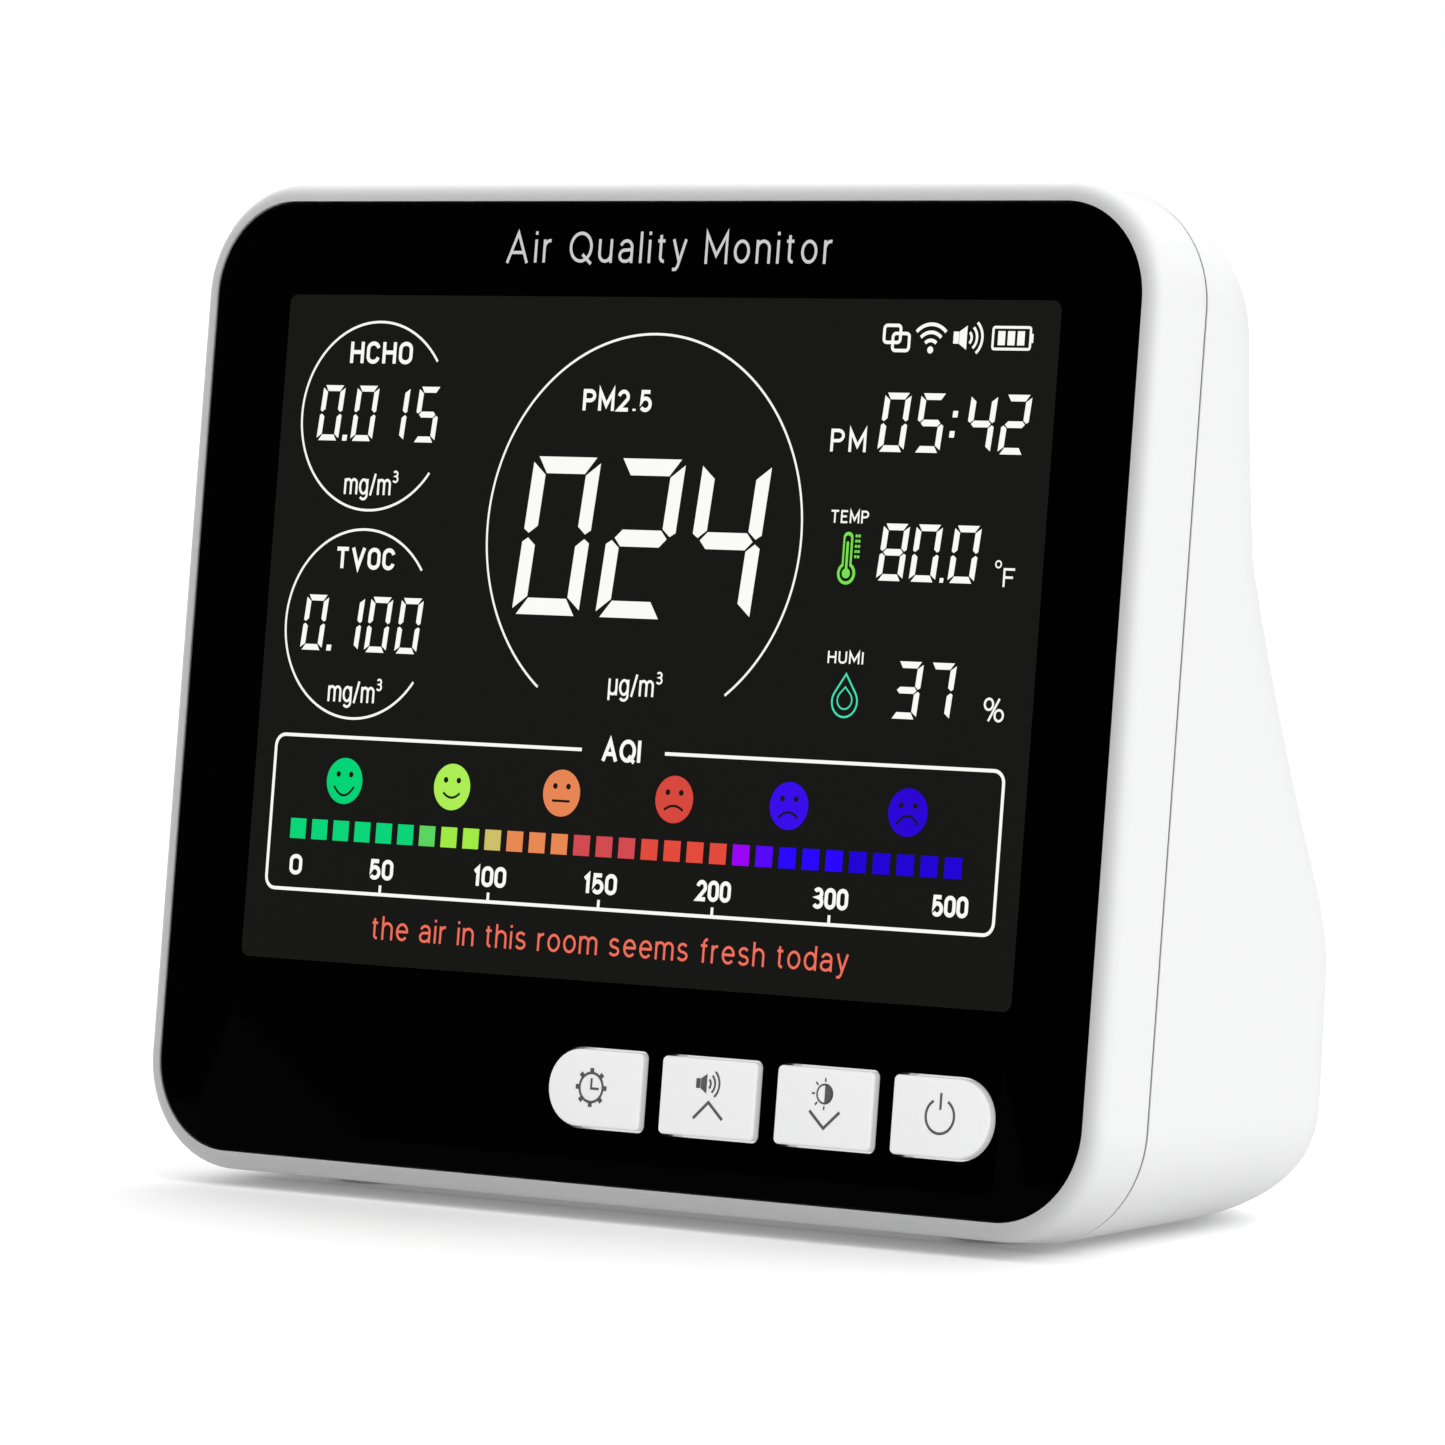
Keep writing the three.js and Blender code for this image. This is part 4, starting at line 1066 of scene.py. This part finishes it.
def status_icons(white):
    """Link, wireless, sound and battery, left to right."""
    for x, z in ((28.65, 86.3), (29.75, 85.5)):
        white.strip(outline(2.0, 1.7, 0.35, x + 1.0, z + 0.85, 4), 0.34, closed=True)
    for radius in (0.95, 1.75, 2.55):
        white.strip(arc(radius, 34.4, 85.6, math.radians(45), math.radians(135), 14), 0.36)
    white.disc(0.36, 34.4, 85.6, 16)
    speaker_icon(white, 37.12, 86.85, 2.4, 3, 0.29)
    white.strip(outline(4.5, 2.15, 0.2, 44.15, 86.85, 3), 0.27, closed=True)
    white.box(46.45, 86.4, 46.75, 87.3)
    for i in range(3):
        white.box(42.5 + i * 1.17, 86.15, 43.37 + i * 1.17, 87.55)


def clock_and_climate(white):
    """The time, the temperature and the humidity, downwards."""
    digits(white, "0542", (28.8, 33.2, 39.3, 43.4), 75.4, 3.2, 5.9, 0.66)
    white.box(37.7, 78.95, 38.3, 79.6, SLANT)
    white.box(37.45, 76.95, 38.05, 77.6, SLANT)
    white.text("PM", 23.0, 27.4, 75.3, 77.6, 0.34, 0.4)
    white.text("TEMP", 23.7, 28.4, 68.2, 69.5, 0.2, 0.34)
    white.text("HUMI", 24.6, 29.0, 54.2, 55.45, 0.2, 0.34)
    reading = dict(width=3.2, height=5.7, stroke=0.66)
    digits(white, "800", (29.8, 33.8, 38.5), 62.6, **reading)
    white.box(37.55, 62.6, 38.01, 63.06, SLANT)
    white.strip(circle(0.33, 44.55, 64.6, 18), 0.16, closed=True)
    white.text("F", 45.2, 46.6, 62.4, 64.25, 0.24)
    digits(white, "37", (32.7, 36.7), 49.0, **reading)
    white.text("%", 44.0, 46.5, 49.1, 51.5, 0.24)


def index_scale(white):
    """The rounded frame round the scale, its title and its numbers."""
    left, right, low, high, corner = -46.3, 47.06, 28.25, 44.35, 1.2
    size = (right - left, high - low)
    loop = outline(*size, corner, (left + right) / 2, (low + high) / 2, 6)
    # the loop is opened at its top, for the title, so it starts at the high left corner
    white.strip([(-5.6, high)] + loop[7:] + loop[:7] + [(5.1, high)], 0.36)
    white.text("AQI", -3.0, 2.0, 43.25, 45.6, 0.42, 0.3)
    scale = (("0", -42.4, 0.85), ("50", -30.8, 1.6), ("100", -16.4, 2.2), ("150", -2.0, 2.2),
             ("200", 12.5, 2.2), ("300", 27.1, 2.2), ("500", 41.7, 2.2))
    for figures, x, half in scale:
        white.text(figures, x - half, x + half, 29.75, 31.9, 0.42, 0.3)
        if figures not in ("0", "500"):
            white.box(x - 0.17, low, x + 0.17, low + 0.95)


def drop(x, tip, bottom, radius):
    """A teardrop's outline."""
    centre = bottom + radius
    tangent = math.asin(radius / (tip - centre))
    return [(x, tip)] + arc(radius, x, centre, math.pi - tangent, 2 * math.pi + tangent, 22)


# ---- symbols printed on the buttons ----
def timer_symbol(marks):
    """A clock in a cog."""
    x, z = -1.2, 9.7
    marks.strip(circle(1.48, x, z, 36), 0.28, closed=True)
    marks.rays(x, z, range(0, 360, 45), 1.58, 1.98, 0.5)
    marks.strip([(x, z + 0.95), (x, z - 0.1), (x + 1.0, z - 0.1)], 0.26)


def up_symbol(marks):
    """A loudspeaker over an arrowhead that points up."""
    speaker_icon(marks, 12.05, 11.05, 2.0, 3, 0.25)
    marks.strip([(11.95, 7.5), (13.75, 9.2), (15.6, 7.55)], 0.32)


def down_symbol(marks):
    """A sun, half filled, over an arrowhead that points down."""
    x, z = 28.05, 11.0
    marks.strip(circle(0.95, x, z, 28), 0.2, closed=True)
    marks.add(arc(0.95, x, z, -math.pi / 2, math.pi / 2, 14))
    marks.rays(x, z, range(90, 271, 45), 1.2, 1.6, 0.2)
    marks.strip([(26.3, 9.25), (28.15, 7.6), (30.0, 9.3)], 0.32)


def power_symbol(marks):
    """An open circle with a line in its gap."""
    x, z = 42.15, 9.75
    marks.strip(arc(1.7, x, z, math.radians(120), math.radians(420), 36), 0.28)
    marks.strip([(x, z + 2.3), (x, z + 0.65)], 0.28)


SYMBOLS = {"timer": timer_symbol, "up": up_symbol, "down": down_symbol, "power": power_symbol}


# ---- put the pieces together ----
settle(rear_shell(), "case", "case_white", CASE_WHITE, "rear_shell")
settle(front_frame(), "case", "case_white", CASE_WHITE, "front_frame")
# painted shade in the parting gap: a dark ring where there is only shadow
settle(parting_gap_shade(), "case", "dark_plastic", GAP_SHADE_GREY)
settle(lens(), "case", "lens_black", LENS_BLACK, "front_lens")
for button in BUTTONS:
    name = button["name"]
    settle(button_cap(button), f"{name}_button", "button_white", CAP_PAINTED_LIGHT, f"button_{name}")

usb_shell, usb_tongue, usb_contacts = usb_pieces()
settle(usb_shell, "case", "can_steel", STEEL, "usb_c_socket")
settle(usb_tongue, "case", "dark_plastic", DARK_PLASTIC)
settle(usb_contacts, "case", "can_steel", GOLD)
for i, (x, y) in enumerate(SCREW_PLACES, 1):
    screw = case_screw(f"case_screw_fine_{i}", x, y)
    settle(screw, "case", "screw_steel", SCREW_STEEL, f"case_screw_{i}")
for i, (x, y) in enumerate(FOOT_PLACES, 1):
    foot = rubber_foot(f"rubber_foot_fine_{i}", x, y)
    settle(foot, "case", "foot_rubber", RUBBER, f"rubber_foot_{i}")

WINDOW_DEPTH, MARK_DEPTH, TOP_DEPTH = 0.06, 0.03, 0.01
window = Marks()
window.add(outline(DISPLAY["width"], DISPLAY["height"], 1.0, DISPLAY["x"], DISPLAY["z"], 8))
window.build("display_window", WINDOW_DEPTH, WINDOW_BLACK)
white, thin, red = drawing(), drawing(), drawing()
for draw in (gas_readings, status_icons, clock_and_climate, index_scale):
    draw(white)
red.text("the air in this room seems fresh today", -31.5, 29.9, 23.6, 26.05, 0.27, 0.27)
thin.text("Air Quality Monitor", -20.3, 21.5, 94.1, 97.3, 0.33, 0.34)
white.build("display_segments", MARK_DEPTH, glowing("lit_white", 250, 250, 247))
red.build("display_message", MARK_DEPTH, glowing("lit_red", 240, 112, 92))
# the title is real print on the lens, given a painted glow: a constant grey emission, though the print is no
# lamp
thin.build("lens_title", MARK_DEPTH, glowing("printed_grey_painted_glow", 205, 205, 205), slot="lens_black")

# temperature and humidity icons
green, teal, dark, mercury = drawing(), drawing(), drawing(), drawing()
green.disc(1.12, 26.1, 63.2)
green.add(outline(1.2, 4.3, 0.58, 26.08, 65.2, 6))
for i in range(5):
    for x in (26.95, 27.3):
        green.box(x, 64.75 + i * 0.52, x + 0.27, 65.02 + i * 0.52)
dark.disc(0.8, 26.1, 63.2)
dark.add(outline(0.72, 4.0, 0.35, 26.08, 65.0, 6))
mercury.disc(0.5, 26.1, 63.2)
mercury.add(outline(0.3, 3.2, 0.14, 26.08, 64.8, 4))
teal.strip(drop(27.05, 53.2, 48.9, 1.55), 0.2, closed=True)
teal.strip(drop(27.05, 51.9, 49.7, 0.9), 0.16, closed=True)

# the scale: how many squares, and their colour
BANDS = [
    (6, (8, 212, 120)), (1, (92, 212, 96)), (2, (160, 234, 70)), (1, (206, 190, 104)),
    (3, (232, 136, 82)), (3, (209, 74, 80)), (4, (227, 75, 60)), (1, (152, 2, 244)),
    (1, (86, 4, 248)), (3, (40, 4, 252)), (5, (33, 2, 212)),
]
# the faces above it: place, colour and mood
FACES = [
    (-36.64, (0, 212, 118), (-0.55, -0.95, 1.35)),
    (-22.2, (172, 238, 84), (-0.6, -0.5, 1.1)),
    (-7.8, (231, 133, 84), (-0.8, 0.0, 1.15)),
    (6.7, (214, 72, 62), (-1.1, 0.45, 1.2)),
    (21.15, (57, 10, 232), (-1.2, 0.55, 1.2)),
    (35.8, (43, 3, 212), (-1.25, 0.9, 1.35)),
]
x, pitch, half = -42.45, 2.903, 1.05  # the squares: the first one's place, their spacing and half width
for i, (count, colour) in enumerate(BANDS, 1):
    band = drawing()
    for _ in range(count):
        band.box(x - half, 33.55, x + half, 35.65)
        x += pitch
    band.build(f"scale_band_{i}", MARK_DEPTH, glowing(f"lit_band_{i}", *colour))
for i, (x, colour, mood) in enumerate(FACES, 1):
    disc = drawing()
    face_icon(disc, dark, x, 39.8, mood)
    disc.build(f"face_{i}", MARK_DEPTH, glowing(f"lit_face_{i}", *colour))
dark.build("face_features", TOP_DEPTH, WINDOW_BLACK)
lit_green = glowing("lit_green", 120, 225, 80)
green.build("thermometer", MARK_DEPTH, lit_green)
mercury.build("thermometer_column", TOP_DEPTH - 0.02, lit_green)
teal.build("humidity_drop", MARK_DEPTH, glowing("lit_teal", 70, 225, 180))

ICON_DEPTH = CAP_FRONT - 0.02
STEP = BUTTON["proud"] * 0.758  # how far a cap's face seems to move sideways, seen from the right
for name, draw in SYMBOLS.items():
    symbol = Marks(shift=STEP)
    draw(symbol)
    symbol.build(f"symbol_{name}", ICON_DEPTH, ICON_GREY, body=f"{name}_button", slot="button_white")

# the other model pieces keep their shapes and take finished materials
LOOKS = {
    "lens_tape": SHEET_BLACK, "vent_mesh": MESH_BLACK,
    "button_board": BOARD_GREEN, "main_board": BOARD_GREEN, "power_board": BOARD_GREEN,
    "lcd_glass": WINDOW_BLACK, "light_guide": GUIDE, "display_flex": AMBER, "button_flex": AMBER,
    "processor_chip": DARK_PLASTIC, "humidity_sensor": DARK_PLASTIC, "fan_rotor": DARK_PLASTIC,
    "inlet_duct": DARK_PLASTIC, "speaker": DARK_PLASTIC, "battery_clip": DARK_PLASTIC,
    "battery_cell": BATTERY_BLUE, "battery_lead": LEAD_RED,
}
for name, piece in frame["nodes"].items():
    look = LOOKS.get(name)
    if look is None:
        kind = name.rsplit("_", 1)[0]
        look = {"switch_plunger": DARK_PLASTIC, "board_screw": SCREW_STEEL}.get(kind, STEEL)
    piece.data.materials.clear()
    piece.data.materials.append(look)


# ---- stage ----
AMBIENT = 0.03
FLOOR_REACH = 40
# what the camera sees on top of a white floor, what other rays see lit, and what they see glow
FLOOR_EXTRA, FLOOR_BOUNCE, FLOOR_FILL = 0.32, 0.6, 0.15
# direction, narrowness and strength of each soft light
LOBES = [
    ((0.0, 0.4, 1.0), 2.5, 1.22),  # above
    ((1.0, 0.0, 0.3), 5.0, 2.82),  # right
    ((-0.9, 0.4, 0.35), 1.6, 0.9),  # behind and left
]


def diffuse(made, level):
    return node(made, "ShaderNodeBsdfDiffuse", Color=(level, level, level, 1))


def added(made, first, second):
    both = node(made, "ShaderNodeAddShader")
    link(made, first.outputs[0], both.inputs[0])
    link(made, second.outputs[0], both.inputs[1])
    return both


def two_faced(made, lighting, seen, output):
    """One shader for what the camera sees, and another for the light it gives the object."""
    path, mix = node(made, "ShaderNodeLightPath"), node(made, "ShaderNodeMixShader")
    link(made, path.outputs["Is Camera Ray"], mix.inputs["Fac"])
    link(made, lighting.outputs[0], mix.inputs[1])
    link(made, seen.outputs[0], mix.inputs[2])
    link(made, mix.outputs["Shader"], output.inputs["Surface"])


def floor():
    """A pale table: its light on the object is dimmer than what the camera sees of it."""
    corners = [(x, y, 0) for x, y in rectangle(FLOOR_REACH, FLOOR_REACH)]
    piece = new_object("floor", corners, [(0, 1, 2, 3)])
    made = material("floor", (1, 1, 1), 0.9, specular=0.0)
    nodes = made.node_tree.nodes
    seen = added(made, nodes["Principled BSDF"], diffuse(made, FLOOR_EXTRA))
    fill = node(made, "ShaderNodeEmission", Strength=FLOOR_FILL)
    lighting = added(made, diffuse(made, FLOOR_BOUNCE), fill)
    two_faced(made, lighting, seen, nodes["Material Output"])
    piece.data.materials.append(made)


def world():
    """Soft studio light: bright above, to the right and behind, dim in front, on a white background."""
    made = bpy.data.worlds.new("studio")
    bpy.context.scene.world = made
    made.use_nodes = True
    made.node_tree.nodes.clear()

    def maths(operation, source, value):
        step = node(made, "ShaderNodeMath", operation=operation)
        step.inputs[1].default_value = value
        link(made, source, step.inputs[0])
        return step

    where = node(made, "ShaderNodeTexCoord")
    total = None
    for direction, power, strength in LOBES:
        dot = node(made, "ShaderNodeVectorMath", operation="DOT_PRODUCT")
        dot.inputs[1].default_value = Vector(direction).normalized()
        link(made, where.outputs["Generated"], dot.inputs[0])
        lobe = dot.outputs["Value"]
        for operation, value in (("MAXIMUM", 0.0), ("POWER", power), ("MULTIPLY", strength)):
            lobe = maths(operation, lobe, value).outputs["Value"]
        if total is None:
            total = lobe
        else:
            both = maths("ADD", total, 0.0)
            link(made, lobe, both.inputs[1])
            total = both.outputs["Value"]
    light, backdrop = (node(made, "ShaderNodeBackground", Color=(1, 1, 1, 1)) for _ in range(2))
    link(made, maths("ADD", total, AMBIENT).outputs["Value"], light.inputs["Strength"])
    two_faced(made, light, backdrop, node(made, "ShaderNodeOutputWorld"))


floor()
world()

camera_data = bpy.data.cameras.new("camera")
camera_data.sensor_width = 36
camera_data.lens = 197.2
camera_data.clip_start, camera_data.clip_end = 0.01, 100
camera = bpy.data.objects.new("camera", camera_data)
bpy.context.scene.collection.objects.link(camera)
camera.location = LEVEL @ Vector((490.97, -626.04, 97.85))
target = LEVEL @ Vector((16.44, 0, 47.38))
camera.rotation_mode = "QUATERNION"
camera.rotation_quaternion = (target - camera.location).to_track_quat("-Z", "Y")
bpy.context.scene.camera = camera
bpy.context.scene.view_settings.view_transform = "Standard"
